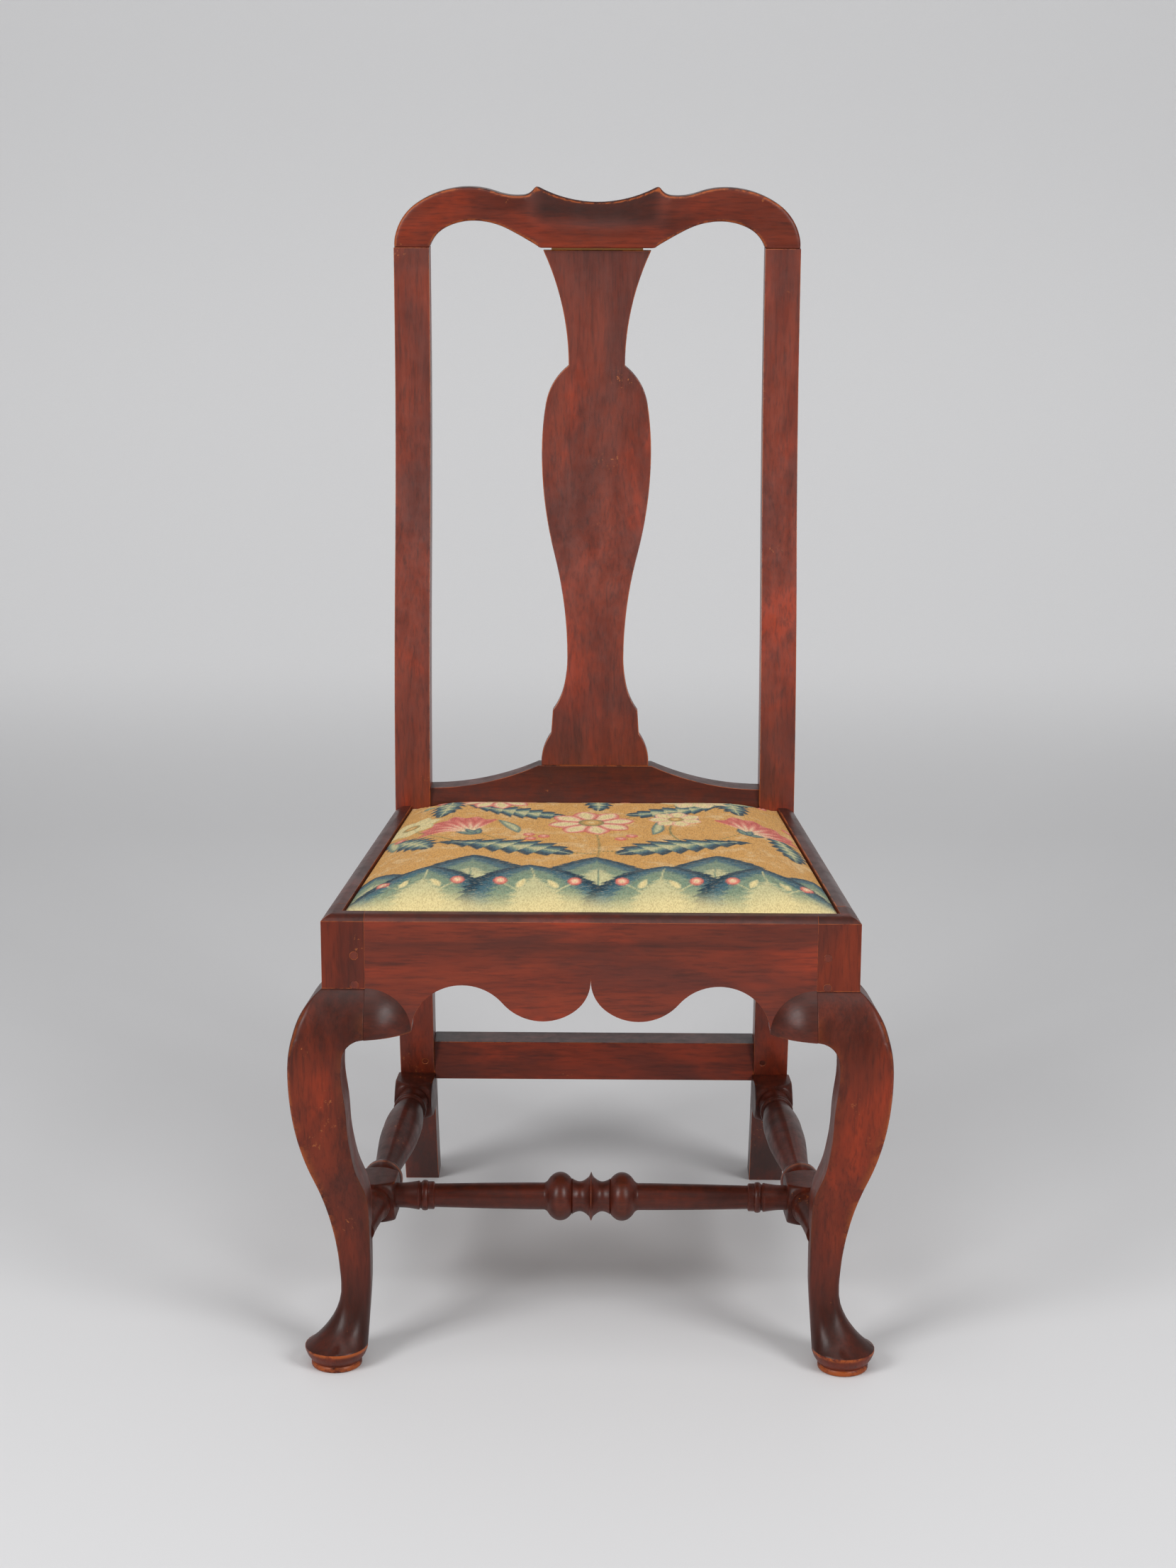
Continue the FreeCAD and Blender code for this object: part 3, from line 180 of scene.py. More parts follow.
def stained_wood(name, grain, darkness=0.0, shift=0.0, gloss=0.4):
    """Red-brown stain, smoky streaks along the grain axis, soil on what faces up, rubbed orange edges,
    painted shade.
    """
    s = Shader("stained_wood_" + name)
    fibres = s.place(drawn_out(grain, 0.1), (shift, 0.7 * shift, 1.3 * shift))
    patches = drawn_out(grain, 0.4)
    plain = s.place()
    broad = s.noise(fibres, 11.0, 6.0, 0.62, 0.7)
    streak = s.noise(fibres, 48.0, 6.0, 0.65, 0.5)
    lines = s.noise(fibres, 95.0, 7.0, 0.72, 0.9)
    fine = s.noise(fibres, 430.0, 4.0, 0.6)
    blotch = s.noise(s.place(patches, (shift, 0, 0)), 15.0, 4.0, 0.6, 0.4)
    cloud = s.noise(s.place(patches, (2.6 + shift, 0, 0)), 13.0, 5.0, 0.6, 0.5)
    spots = s.noise(plain, 70.0, 5.0, 0.7)

    color = s.mix(s.ramp(streak, 0.34, 0.66), STAIN, STAIN_PALE)
    color = s.mix(s.ramp(blotch, 0.5, 0.66, 0.0, 0.8), color, STAIN_WARM)
    color = s.mix(s.ramp(cloud, 0.44, 0.64, 0.0, 0.6), color, STAIN_GREY)
    color = s.mix(s.ramp(broad, 0.52, 0.76, 0.0, 0.7), color, BROAD_STREAK)
    color = s.mix(s.ramp(lines, 0.52, 0.7, 0.0, 0.5), color, GRAIN_LINE)
    color = s.mix(s.ramp(fine, 0.44, 0.72, 0.0, 0.42), color, PORE)

    patch = s.ramp(spots, 0.25, 0.7, 0.6, 1.0)
    dirt_and_shade = s.times(s.ramp(s.facing_up(), 0.35, 0.9), patch)
    dirt_and_shade = s.math("MAXIMUM", dirt_and_shade, s.times(patch, darkness))
    drifts = s.ramp(s.noise(fibres, 26.0, 5.0, 0.65), 0.3, 0.62, 0.45, 1.0)
    # The per-vertex attribute read here carries dirt and also painted shade: the crest's dip and the legs'
    # inner faces.
    dirt_and_shade = s.math("MAXIMUM", dirt_and_shade, s.times(s.attribute("grime_and_shade"), drifts))
    color = s.mix(s.times(dirt_and_shade, 0.85), color, SMOKE_AND_SHADE)

    worn = s.math("POWER", s.attribute("worn"), 2.0)
    rubbed = s.times(worn, s.ramp(s.noise(plain, 34.0, 6.0, 0.78), 0.41, 0.53))
    color = s.mix(s.times(rubbed, 0.85), color, RUBBED)
    chips = s.times(s.ramp(s.noise(plain, 330.0, 3.0, 0.6), 0.6, 0.66),
                    s.ramp(s.noise(plain, 19.0, 4.0, 0.6), 0.62, 0.72))
    color = s.mix(s.times(chips, 0.7), color, CHIPPED)
    color = s.mix(s.attribute("raw"), color, BARE_WOOD)

    height = s.math("ADD", s.times(fine, 0.45), s.times(spots, 0.9))
    rough = s.ramp(s.math("ADD", s.times(streak, 0.5), s.times(spots, 0.5)), 0.32, 0.68, 0.3, 0.46)
    rough = s.math("ADD", rough, s.times(s.attribute("matte"), 0.45))
    return s.finish(color, rough, s.bump(height, 0.2, 0.0006), Specular_IOR_Level=gloss)


def raw_wood(name, grain, pale, dark):
    """Unstained wood of the seat's own frame."""
    s = Shader(name)
    fibres = s.place(drawn_out(grain, 0.07))
    rings = s.noise(fibres, 60.0, 5.0, 0.6, 1.0)
    fine = s.noise(fibres, 500.0, 3.0)
    color = s.mix(s.ramp(rings, 0.35, 0.65), pale, dark)
    color = s.mix(s.ramp(fine, 0.45, 0.8, 0.0, 0.4), color, dark)
    return s.finish(color, s.ramp(rings, 0.3, 0.7, 0.6, 0.78), s.bump(fine, 0.25, 0.0005))


def woven(name, pale, dark, pitch, depth):
    """Plain weave of threads the given pitch apart, in object coordinates."""
    s = Shader(name)
    threads = []
    for axis in ("X", "Y"):
        inputs = {"Vector": s.place(), "Scale": 0.05 * 2 * math.pi / pitch, "Distortion": 0.6,
                  "Detail": 1.0, "Detail Scale": 0.4}
        wave = s.add("TexWave", inputs, wave_type="BANDS", bands_direction=axis)
        threads.append(wave.outputs["Fac"])
    weave = s.times(threads[0], threads[1])
    slub = s.noise(s.place((1, 0.08, 1)), 600.0, 3.0)
    color = s.mix(s.ramp(weave, 0.05, 0.6), dark, pale)
    color = s.mix(s.ramp(slub, 0.45, 0.75, 0.0, 0.35), color, dark)
    return s.finish(color, 0.85, s.bump(weave, 0.5, depth), Specular_IOR_Level=0.15)


def needlework():
    """Wool and silk stitches: colours come with the piece, the shader adds threads, wear and sheen."""
    s = Shader("needlework")
    stitches = s.noise(s.place((1, 0.22, 1)), 900.0, 3.0, 0.6)
    across = s.noise(s.place((0.25, 1, 1)), 1100.0, 2.0, 0.5)
    patches = s.noise(s.place(), 34.0, 6.0, 0.72, 0.5)
    ground = s.attribute("ground")
    worn = s.times(s.ramp(patches, 0.5, 0.66), ground)
    color = s.mix(s.times(worn, 0.5), s.attribute("stitch", "Color"), srgb(0.9, 0.79, 0.6))
    color = s.mix(s.ramp(stitches, 0.38, 0.72, 0.0, 0.38), color, srgb(0.46, 0.34, 0.17), "MULTIPLY")
    color = s.mix(s.ramp(across, 0.5, 0.75, 0.0, 0.2), color, srgb(0.94, 0.86, 0.68))
    height = s.math("ADD", s.times(stitches, 0.7), s.times(across, 0.5))
    return s.finish(color, 0.8, s.bump(height, 0.55, 0.0008), Specular_IOR_Level=0.12, Sheen_Weight=0.08)


def iron():
    """Hand-made tacks, dark with some rust."""
    s = Shader("forged_iron")
    rust = s.noise(s.place(), 300.0, 5.0, 0.7)
    color = s.mix(s.ramp(rust, 0.42, 0.62), srgb(0.16, 0.14, 0.13), srgb(0.3, 0.17, 0.1))
    return s.finish(color, s.ramp(rust, 0.3, 0.7, 0.4, 0.75), s.bump(rust, 0.3, 0.0003), Metallic=0.7)


wood_across = stained_wood("across", X, shift=0.35, gloss=0.36)
wood_dull = stained_wood("dull", X, darkness=0.06, shift=0.35, gloss=0.3)
wood_deep = stained_wood("deep", Y, shift=1.7)
wood_upright = stained_wood("upright", Z, darkness=0.1, shift=3.1, gloss=0.24)
wood_back = stained_wood("back", Z, shift=3.9, gloss=0.62)
wood_shoe = stained_wood("shoe", X, darkness=0.8, shift=2.2)
wood_turned_across = stained_wood("turned_across", X, darkness=0.8, shift=4.3, gloss=0.32)
wood_turned_deep = stained_wood("turned_deep", Y, darkness=1.0, shift=5.9, gloss=0.2)
wood_pegs = stained_wood("pegs", Y, darkness=0.35, shift=7.7)
seat_wood = [raw_wood("seat_frame_wood_" + name, axis, srgb(0.72, 0.56, 0.38), srgb(0.55, 0.39, 0.24))
             for axis, name in enumerate(("across", "deep"))]
linen = woven("linen_webbing", srgb(0.68, 0.6, 0.46), srgb(0.42, 0.35, 0.24), pitch=0.0016, depth=0.0005)
sacking = woven("sackcloth", srgb(0.6, 0.5, 0.36), srgb(0.33, 0.26, 0.17), pitch=0.0024, depth=0.0007)
stuffing_felt = woven("stuffing", srgb(0.5, 0.4, 0.28), srgb(0.28, 0.21, 0.14), pitch=0.004, depth=0.001)
stitched = needlework()
tack_iron = iron()


# Meshes

ARRIS_ANGLE = math.radians(30.0)
SHADE_ANGLE = 40.0
FLAT_ANGLE = math.radians(0.4)


def show(name, mesh, material, body, replaced, shade=None):
    """Puts a finished mesh in the scene as a piece of the chair."""
    mesh.shade_smooth()
    if shade:
        mesh.set_sharp_from_angle(angle=math.radians(shade))
    mesh.materials.append(material)
    piece = added(name, mesh)
    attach(piece, body)
    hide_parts(*replaced)
    return piece


def paint(mesh, name, values):
    """Keeps one number per vertex for the material to read."""
    mesh.attributes.new(name, "FLOAT", "POINT").data.foreach_set("value", np.array(values, np.float32))


def skin(name, verts, faces, worn=None, grime_and_shade=None):
    """Mesh of vertices and faces with its normals outwards, and by vertex its wear and its soiling and
    painted shade.
    """
    mesh = bpy.data.meshes.new(name)
    mesh.from_pydata([tuple(v) for v in verts], [], faces)
    bm = bmesh.new()
    bm.from_mesh(mesh)
    bmesh.ops.recalc_face_normals(bm, faces=bm.faces)
    bm.to_mesh(mesh)
    bm.free()
    if worn is not None:
        paint(mesh, "worn", worn)
    if grime_and_shade is not None:
        paint(mesh, "grime_and_shade", grime_and_shade)
    return mesh


def loft(rings):
    """Vertices and faces of a closed skin through rings of as many points each."""
    count = len(rings[0])
    verts = [point for ring in rings for point in ring]
    last = (len(rings) - 1) * count
    faces = [tuple(range(count)), tuple(range(last, last + count))]
    for k in range(len(rings) - 1):
        for i in range(count):
            j = (i + 1) % count
            faces.append((k * count + i, k * count + j, (k + 1) * count + j, (k + 1) * count + i))
    return verts, faces


def grid_faces(deep, wide):
    """Faces between the points of a grid of deep rows with wide points each."""
    return [(j * wide + i, j * wide + i + 1, (j + 1) * wide + i + 1, (j + 1) * wide + i)
            for j in range(deep - 1) for i in range(wide - 1)]


def rounded_square(*radii, per_corner=8, per_side=3):
    """Points round a square of half-width 1 with rounded corners, and each one's nearness to a corner.

    One radius serves all corners; four go to (+, +), (-, +), (-, -) and (+, -).
    """
    arcs = []
    for corner in range(4):
        radius = radii[corner % len(radii)]
        first = corner * math.pi / 2
        centre_x = math.copysign(1 - radius, math.cos(first + math.pi / 4))
        centre_y = math.copysign(1 - radius, math.sin(first + math.pi / 4))
        arcs.append([(centre_x + radius * math.cos(first + math.pi / 2 * i / per_corner),
                      centre_y + radius * math.sin(first + math.pi / 2 * i / per_corner),
                      1 - abs(2 * i / per_corner - 1)) for i in range(per_corner + 1)])
    points = []
    for corner, arc in enumerate(arcs):
        points += arc
        start, end = arc[-1], arcs[(corner + 1) % 4][0]
        for i in range(1, per_side + 1):
            share = i / (per_side + 1)
            points.append((start[0] + (end[0] - start[0]) * share,
                           start[1] + (end[1] - start[1]) * share, 0.0))
    return points


def softened(node, material, edge, above=None, raw_above=None):
    """Copy of a solid with its arrises eased by the edge size and marked where they wear."""
    bm = bmesh.new()
    bm.from_mesh(nodes[node].data)
    bmesh.ops.remove_doubles(bm, verts=bm.verts, dist=2e-6)
    if above is not None:
        bmesh.ops.bisect_plane(bm, geom=bm.verts[:] + bm.edges[:] + bm.faces[:], plane_co=(0, 0, above),
                               plane_no=(0, 0, 1), clear_inner=True)
    bmesh.ops.dissolve_limit(bm, angle_limit=FLAT_ANGLE, verts=bm.verts, edges=bm.edges)
    corners = [e for e in bm.edges if len(e.link_faces) == 2 and e.calc_face_angle(0) > ARRIS_ANGLE]
    worn = bm.faces.layers.float.new("worn")
    raw = bm.faces.layers.float.new("raw")
    if corners:
        made = bmesh.ops.bevel(bm, geom=corners, offset=edge, offset_type="OFFSET", segments=2, profile=0.6,
                               affect="EDGES", clamp_overlap=True, loop_slide=True)
        for face in made["faces"]:
            face[worn] = 1.0
    if raw_above is not None:
        for face in bm.faces:
            face[raw] = float(face.calc_center_median().z > raw_above)
    mesh = bpy.data.meshes.new(node + "_shape")
    bm.to_mesh(mesh)
    bm.free()
    body = "slip_seat" if node.startswith("seat_") else "chair_frame"
    piece = show(node + "_wood", mesh, material, body, [node], SHADE_ANGLE)
    piece.modifiers.new("even_normals", "WEIGHTED_NORMAL").keep_sharp = True
    return piece


def relax(bm, verts, rounds):
    """Moves vertices towards the middle of their neighbours, round by round."""
    for _ in range(rounds):
        bmesh.ops.smooth_vert(bm, verts=verts, factor=0.5, use_axis_x=True, use_axis_y=True, use_axis_z=True)


def remeshed(node, voxel, rounds, floor=None):
    """Evenly meshed copy of a solid, relaxed above the floor, and how far each of its points moved."""
    copy = added(node + "_copy", nodes[node].data.copy())
    remesh = copy.modifiers.new("remesh", "REMESH")
    remesh.mode = "VOXEL"
    remesh.voxel_size = voxel
    bpy.context.view_layer.update()
    mesh = bpy.data.meshes.new_from_object(copy.evaluated_get(bpy.context.evaluated_depsgraph_get()))
    bpy.data.objects.remove(copy)
    bm = bmesh.new()
    bm.from_mesh(mesh)
    before = [v.co.copy() for v in bm.verts]
    free = [v for v in bm.verts if floor is None or v.co.z > floor]
    relax(bm, free, rounds)
    bm.normal_update()
    moved = [(start - v.co).dot(v.normal) for start, v in zip(before, bm.verts)]
    bm.to_mesh(mesh)
    bm.free()
    mesh.materials.clear()
    mesh.name = node + "_shape"
    return mesh, np.array(moved, np.float32)


CREST_FLOOR = 0.9685
DIP_FLOOR = 0.972
DIP_HALF = 0.07


def crest_rail():
    """Hand-shaped rail: rounded edges, a dip faired into the face, and wear where most was taken off."""
    mesh, moved = remeshed("crest_rail", 0.0016, 8, CREST_FLOOR)
    bm = bmesh.new()
    bm.from_mesh(mesh)
    dip = [v for v in bm.verts if abs(v.co.x) < DIP_HALF and v.co.z > DIP_FLOOR and v.normal.y < -0.35]
    relax(bm, dip, 70)
    bm.to_mesh(mesh)
    bm.free()
    lift = np.array([v.normal.z for v in mesh.vertices])
    paint(mesh, "worn", smooth(moved, 0.00025, 0.0006))
    places = np.array([v.co for v in mesh.vertices])
    # Painted shade: the top of the dip between the ears is darkened in full, over dirt that grows on upward
    # faces; the same mask makes the dip matte.
    scoop = smooth(places[:, 2], 0.98, 1.0) * (1 - smooth(abs(places[:, 0]), 0.05, 0.075))
    paint(mesh, "grime_and_shade", np.maximum(0.38 + 0.42 * smooth(lift, 0.6, 0.9), scoop))
    paint(mesh, "matte", scoop)
    show("crest_rail_wood", mesh, wood_dull, "chair_frame", ["crest_rail"])


# Cabriole legs and their brackets, drawn from sections of the solids

# Turned pad foot, as heights and radii
PAD_PROFILE = ((0.0, 0.0212), (0.0006, 0.0226), (0.0012, 0.0229), (0.0036, 0.0229), (0.0043, 0.0226),
               (0.0048, 0.0218), (0.0056, 0.0218), (0.0064, 0.0224), (0.009, 0.0247), (0.012, 0.0266),
               (0.015, 0.0278), (0.0175, 0.0284), (0.0186, 0.0284), (0.0192, 0.0281))
# Heights above the pad at which the leg is cut, closer where it turns sharply
LEG_LEVELS = [0.0197, 0.0206, 0.0218, 0.0235, 0.0257, 0.0285, 0.032, 0.0365, 0.042, 0.049, 0.057, 0.066]
LEG_LEVELS += list(np.arange(0.076, 0.3, 0.007)) + list(np.arange(0.3, 0.318, 0.0015))
LEG_LEVELS += [0.3182, 0.3188, 0.3192] + list(np.arange(0.321, 0.3585, 0.0026)) + [0.3588]
# Rounding of the leg's corners by height, as shares of half its width
LEG_CORNERS = ((0.026, 1.0), (0.042, 0.9), (0.062, 0.55), (0.09, 0.22), (0.13, 0.08), (0.36, 0.03))
# Fairing of the leg's inner side: amount, height and spread
FULLER = (0.0048, 0.255, 0.028)
SLIMMER = (0.0042, 0.192, 0.02)
BRACKET_STEPS = 16
BRACKET_TURNS = 24
BRACKET_GRIME = 0.95


def hump(height, amount, middle, spread):
    """Full amount at the middle height, fading away over the spread."""
    return amount * math.exp(-((height - middle) / spread) ** 2)


def mirrored(point, flip):
    """Point of the right-hand side, put on its own side."""
    return Vector((flip * point.x, point.y, point.z))


def section(node, height, flip):
    """Points where a level cuts a solid's edges, on the right-hand side's coordinates."""
    mesh = nodes[node].data
    points = np.array([v.co for v in mesh.vertices])
    ends = points[np.array([e.vertices[:] for e in mesh.edges])]
    low, high = ends[:, 0, 2] - height, ends[:, 1, 2] - height
    crossing = low * high < 0
    share = (low[crossing] / (low[crossing] - high[crossing]))[:, None]
    cut = ends[crossing, 0] + share * (ends[crossing, 1] - ends[crossing, 0])
    return cut * np.array([flip, 1.0, 1.0])


def leg_reach(node, height, flip):
    """Inner x, front y, back y and outer reach of the leg at a height, its inner side faired."""
    cut = section(node, height, flip)
    inner = cut[:, 0].min() + hump(height, *SLIMMER) - hump(height, *FULLER)
    return inner, cut[:, 1].min(), cut[:, 1].max(), (cut[:, :2] @ np.array(OUTWARD[:2])).max()


def corner_radii(height):
    """Rounding of the four corners: round at the foot, crisp above, the outer front one eased at the knee."""
    crisp = float(np.interp(height, *zip(*LEG_CORNERS)))
    eased = crisp + 0.2 * float(smooth(height, 0.2, 0.32) * (1 - smooth(height, 0.338, 0.358)))
    return crisp, crisp, crisp, eased


def cabriole_leg(side, flip):
    """Post with eased edges, and below it the carved knee, calf and ankle on a pad foot."""
    node = "front_leg_" + side
    softened(node, wood_upright, 0.001, above=BLOCK_BOTTOM - 0.0002)
    rings, worn, grime_and_shade = [], [], []
    circle = rounded_square(1.0)
    for z, radius in PAD_PROFILE:
        rings.append([Vector((flip * (PAD_CENTRE.x + s * radius), PAD_CENTRE.y + t * radius, z))
                      for s, t, _ in circle])
        worn += [1.0 if 0.0165 < z < 0.0195 or z < 0.005 else 0.1] * len(circle)
        grime_and_shade += [0.25 if 0.0044 < z < 0.006 else 0.0] * len(circle)
    for z in LEG_LEVELS:
        inner, front, back, reach = leg_reach(node, z, flip)
        ring = []
        dark = 0.95 * float(smooth(z, 0.25, 0.335)) + float(1 - smooth(z, 0.04, 0.11))
        handled = float(smooth(z, 0.06, 0.12) * (1 - smooth(z, 0.335, 0.35)))
        for s, t, _ in rounded_square(*corner_radii(z)):
            y = front + (back - front) * (t + 1) / 2
            outer = (reach - OUTWARD.y * y) / OUTWARD.x
            ring.append(Vector((flip * (inner + (outer - inner) * (s + 1) / 2), y, z)))
            edge = float(smooth(min(abs(s), abs(t)), 0.8, 0.98))
            worn.append(edge * handled * (1.0 if s > 0 else 0.4))
            hollow = 0.75 * edge * float(1 - smooth(z, 0.1, 0.34))
            # Painted shade: the inner face, where s is below -0.9, is darkened by 0.55; the knee top, foot
            # and lower edges are dirt.
            grime_and_shade.append(max(dark, hollow, 0.55 * float(s < -0.9)))
        rings.append(ring)
    verts, faces = loft(rings)
    mesh = skin(node + "_carving", verts, faces, worn, grime_and_shade)
    show(node + "_carved", mesh, wood_upright, "chair_frame", [node], 60.0)


def knee_bracket(node, leg, flip, sideways):
    """Quarter dome that carries the knee's swell along a rail down to the rail's face."""
    origin = Vector((SEAM_X, FRONT_Y, APRON_END))
    along, outward = Vector((-1, 0, 0)), Vector((0, -1, 0))
    if sideways:
        origin = Vector((HALF_FRONT - SPLAY * POST_WIDTH, FRONT_Y + POST_WIDTH, APRON_END))
        along, outward = ALONG, OUTWARD
    profile = []
    size = BLOCK_BOTTOM - APRON_END
    for i in range(BRACKET_STEPS + 1):
        radius = size * (1 - i / BRACKET_STEPS)
        _, front, _, reach = leg_reach(leg, min(APRON_END + radius + 1e-5, BLOCK_BOTTOM - 2e-5), flip)
        rise = reach - origin.xy.dot(OUTWARD.xy) if sideways else FRONT_Y - front
        profile.append((max(rise, 0.0), radius))
    profile[0] = (0.0, size)
    verts, worn = [], []
    for k in range(BRACKET_TURNS + 1):
        turn = math.pi / 2 * k / BRACKET_TURNS
        spoke = along * math.sin(turn) + Vector((0, 0, math.cos(turn)))
        for rise, radius in profile:
            point = origin + outward * rise + spoke * radius
            verts.append(mirrored(point, flip))
            worn.append(float(k == BRACKET_TURNS) * 0.7)
    count = len(profile)
    last = BRACKET_TURNS * count
    faces = grid_faces(BRACKET_TURNS + 1, count)
    verts.append(mirrored(origin, flip))
    worn.append(0.0)
    hub = len(verts) - 1
    faces += [tuple(range(count)) + (hub,), tuple(range(last, last + count)) + (hub,)]
    faces += [(hub, k * count, (k + 1) * count) for k in range(BRACKET_TURNS)]
    grime_and_shade = [BRACKET_GRIME] * len(verts)
    bracket_wood = wood_deep if sideways else wood_dull
    mesh = skin(node + "_carving", verts, faces, worn, grime_and_shade)
    show(node + "_carved", mesh, bracket_wood, "chair_frame", [node], 50.0)


# Turned stretchers, given in millimetres as (distance, radius) and, for square work, a corner radius

BLOCK_HALF = 19.0
REAR_BLOCK = 40.0
COLLAR = 24.0
MIDDLE_SPOT = 0.0775
BALL_RADIUS = 22.5


def swell(start, end, low, high, steps=10):
    """Bead or ball: rises from low to high and back."""
    return [(start + (end - start) * (1 - math.cos(math.pi * i / steps)) / 2,
             low + (high - low) * math.sin(math.pi * i / steps)) for i in range(steps + 1)]


def sweep(start, end, first, last, steps=10):
    """Smooth S from one radius to another."""
    return [(start + (end - start) * i / steps, first + (last - first) * float(smooth(i / steps, 0, 1)))
            for i in range(steps + 1)]


def cove(start, end, first, last, dip, steps=10):
    """Hollow between two radii."""
    return [(start + (end - start) * i / steps,
             first + (last - first) * i / steps - dip * math.sin(math.pi * i / steps))
            for i in range(steps + 1)]


def block(start, end):
    """Square block whose ends are rounded down to the round work."""
    length = end - start
    shares = ((0.0, 1.0), (0.03, 0.72), (0.07, 0.5), (0.12, 0.3), (0.17, 0.14), (0.22, 0.06))
    near = [(start + share * length, BLOCK_HALF, radius) for share, radius in shares]
    far = [(end - share * length, BLOCK_HALF, radius) for share, radius in reversed(shares)]
    return near + far


def turning(node, start, end, stations, material, flip=1.0, stop=None):
    """Round and square work along a line, cut off at the face whose y is stop(z)."""
    axis = (end - start).normalized()
    aside = axis.cross(Vector((0, 0, 1))).normalized()
    rings, worn = [], []
    for station in stations:
        distance, radius = station[0] / 1000, station[1] / 1000
        corner = station[2] if len(station) > 2 else 1.0
        ring = []
        for s, t, c in rounded_square(corner):
            point = start + axis * distance + aside * (s * radius) + Vector((0, 0, t * radius))
            if stop:
                point -= axis * (max(point.y - stop(point.z), 0.0) / axis.y)
            ring.append(mirrored(point, flip))
            worn.append(c ** 3 * 0.8 if corner < 0.3 else 0.0)
        rings.append(ring)
    tallest = max(station[1] for station in stations)
    count = len(rings[0])
    for k, station in enumerate(stations):
        if station[1] > 0.96 * tallest and len(station) == 2:
            beside = [other for other in stations[k - 1:k + 2] if other is not station]
            crisp = all(other[1] < station[1] - 0.15 for other in beside)
            worn[k * count:(k + 1) * count] = [0.95 if crisp else 0.2] * count
    verts, faces = loft(rings)
    mesh = skin(node + "_turning", verts, faces, worn)
    show(node + "_turned", mesh, material, "chair_frame", [node], 38.0)


def side_stretcher(side, flip):
    """Turning with two square blocks and a long vase that swells towards the back."""
    length = (SIDE_END - SIDE_START).length * 1000
    rear = length - REAR_BLOCK
    collar = rear - COLLAR
    stations = [(-9.0, 10.5)] + cove(0.0, 46.0, 10.5, 14.4, 0.5) + [(47.0, 15.2), (49.0, 16.0), (55.9, 16.0)]
    stations += block(56.0, 99.0)
    stations += [(99.1, 16.0)] + cove(99.8, 104.0, 15.0, 14.6, 0.9) + [(104.5, 15.6)]
    stations += swell(105.0, 125.0, 15.6, 18.8)
    stations += [(125.5, 14.6)] + cove(126.0, 130.0, 13.6, 12.1, 0.5)
    stations += sweep(131.0, 229.0, 12.0, 18.3, 14) + cove(233.0, collar - 1.0, 18.2, 13.7, -2.0)
    stations += [(collar - 0.4, 13.7)] + swell(collar, collar + 6.0, 15.0, 16.6)
    stations += cove(collar + 6.6, rear - 1.0, 15.0, 16.0, 1.9) + [(rear - 0.1, 16.0)]
    stations += [station for station in block(rear, length + 18.0) if station[0] < length + 10.0]
    turning("side_stretcher_" + side, SIDE_START, SIDE_END, stations, wood_turned_deep, flip,
            lambda z: SIDE_END.y + 0.0004 + STILE_RAKE * (STRETCHER_Z - z))


def medial_stretcher():
    """Turning between the side stretchers' front blocks: a ring and two balls, and a collar at each end."""
    spot = SIDE_START + (SIDE_END - SIDE_START).normalized() * MIDDLE_SPOT
    end = spot.x * 1000 - BLOCK_HALF
    half = [(0.0, BALL_RADIUS), (0.35, 22.3), (1.0, 20.6), (1.7, 19.0)]
    half += cove(2.2, 16.2, 18.2, 15.6, 2.9) + [(16.9, 16.0), (17.2, 17.0)]
    half += [(28.7 - 15.4 * math.cos(a), BALL_RADIUS * math.sin(a)) for a in np.linspace(0.78, 2.44, 19)]
    half += cove(40.8, 44.5, 14.2, 12.5, 0.5, 5)
    half += [(60.0, 12.45), (100.0, 11.9), (end - 35.3, 10.9)]
    half += [(end - 34.7, 12.4), (end - 34.1, 12.9), (end - 29.5, 12.9)]
    half += swell(end - 29.0, end - 23.0, 12.6, 14.2)
    half += [(end - 22.5, 12.2), (end - 21.5, 12.2), (end - 21.0, 13.2), (end - 19.9, 13.4)]
    half += cove(end - 18.9, end, 13.2, 11.5, 0.5) + [(end + 3.0, 11.5)]
    reach = half[-1][0]
    stations = [(reach - d, r) for d, r in reversed(half)] + [(reach + d, r) for d, r in half[1:]]
    first = Vector((-reach / 1000, spot.y, STRETCHER_Z))
    turning("medial_stretcher", first, first + Vector((1, 0, 0)), stations, wood_turned_across)


RAIL_EDGE = 0.0009
PEG_EDGE = 0.0002
SPLAT_TOP = 0.9646

crest_rail()
for name in ("front_seat_rail", "rear_seat_rail", "rear_stretcher"):
    softened(name, wood_across, RAIL_EDGE)
softened("splat_shoe", wood_shoe, RAIL_EDGE)
splat = softened("back_splat", wood_back, 0.0007, raw_above=SPLAT_TOP)
paint(splat.data, "grime_and_shade", [0.12] * len(splat.data.vertices))
medial_stretcher()
for side, flip in (("left", -1.0), ("right", 1.0)):
    cabriole_leg(side, flip)
    knee_bracket("knee_bracket_front_" + side, "front_leg_" + side, flip, False)
    knee_bracket("knee_bracket_side_" + side, "front_leg_" + side, flip, True)
    side_stretcher(side, flip)
    stile = softened("rear_stile_" + side, wood_back, 0.001)
    paint(stile.data, "grime_and_shade", [0.9 * float(1 - smooth(v.co.z, 0.03, 0.2)) for v in stile.data.vertices])
    softened("side_seat_rail_" + side, wood_deep, RAIL_EDGE)
    softened("corner_block_" + side, wood_across, 0.0008)
for name in ("front_rail_pegs", "side_rail_front_pegs", "side_rail_rear_pegs", "rear_stretcher_pegs"):
    softened(name, wood_pegs, PEG_EDGE)
for name, axis in (("front", X), ("back", X), ("left", Y), ("right", Y)):
    softened("seat_frame_" + name, seat_wood[axis], 0.0006)
softened("seat_frame_pegs", seat_wood[X], PEG_EDGE)


# Slip seat: webbing, sacking, stuffing and the needlework cover

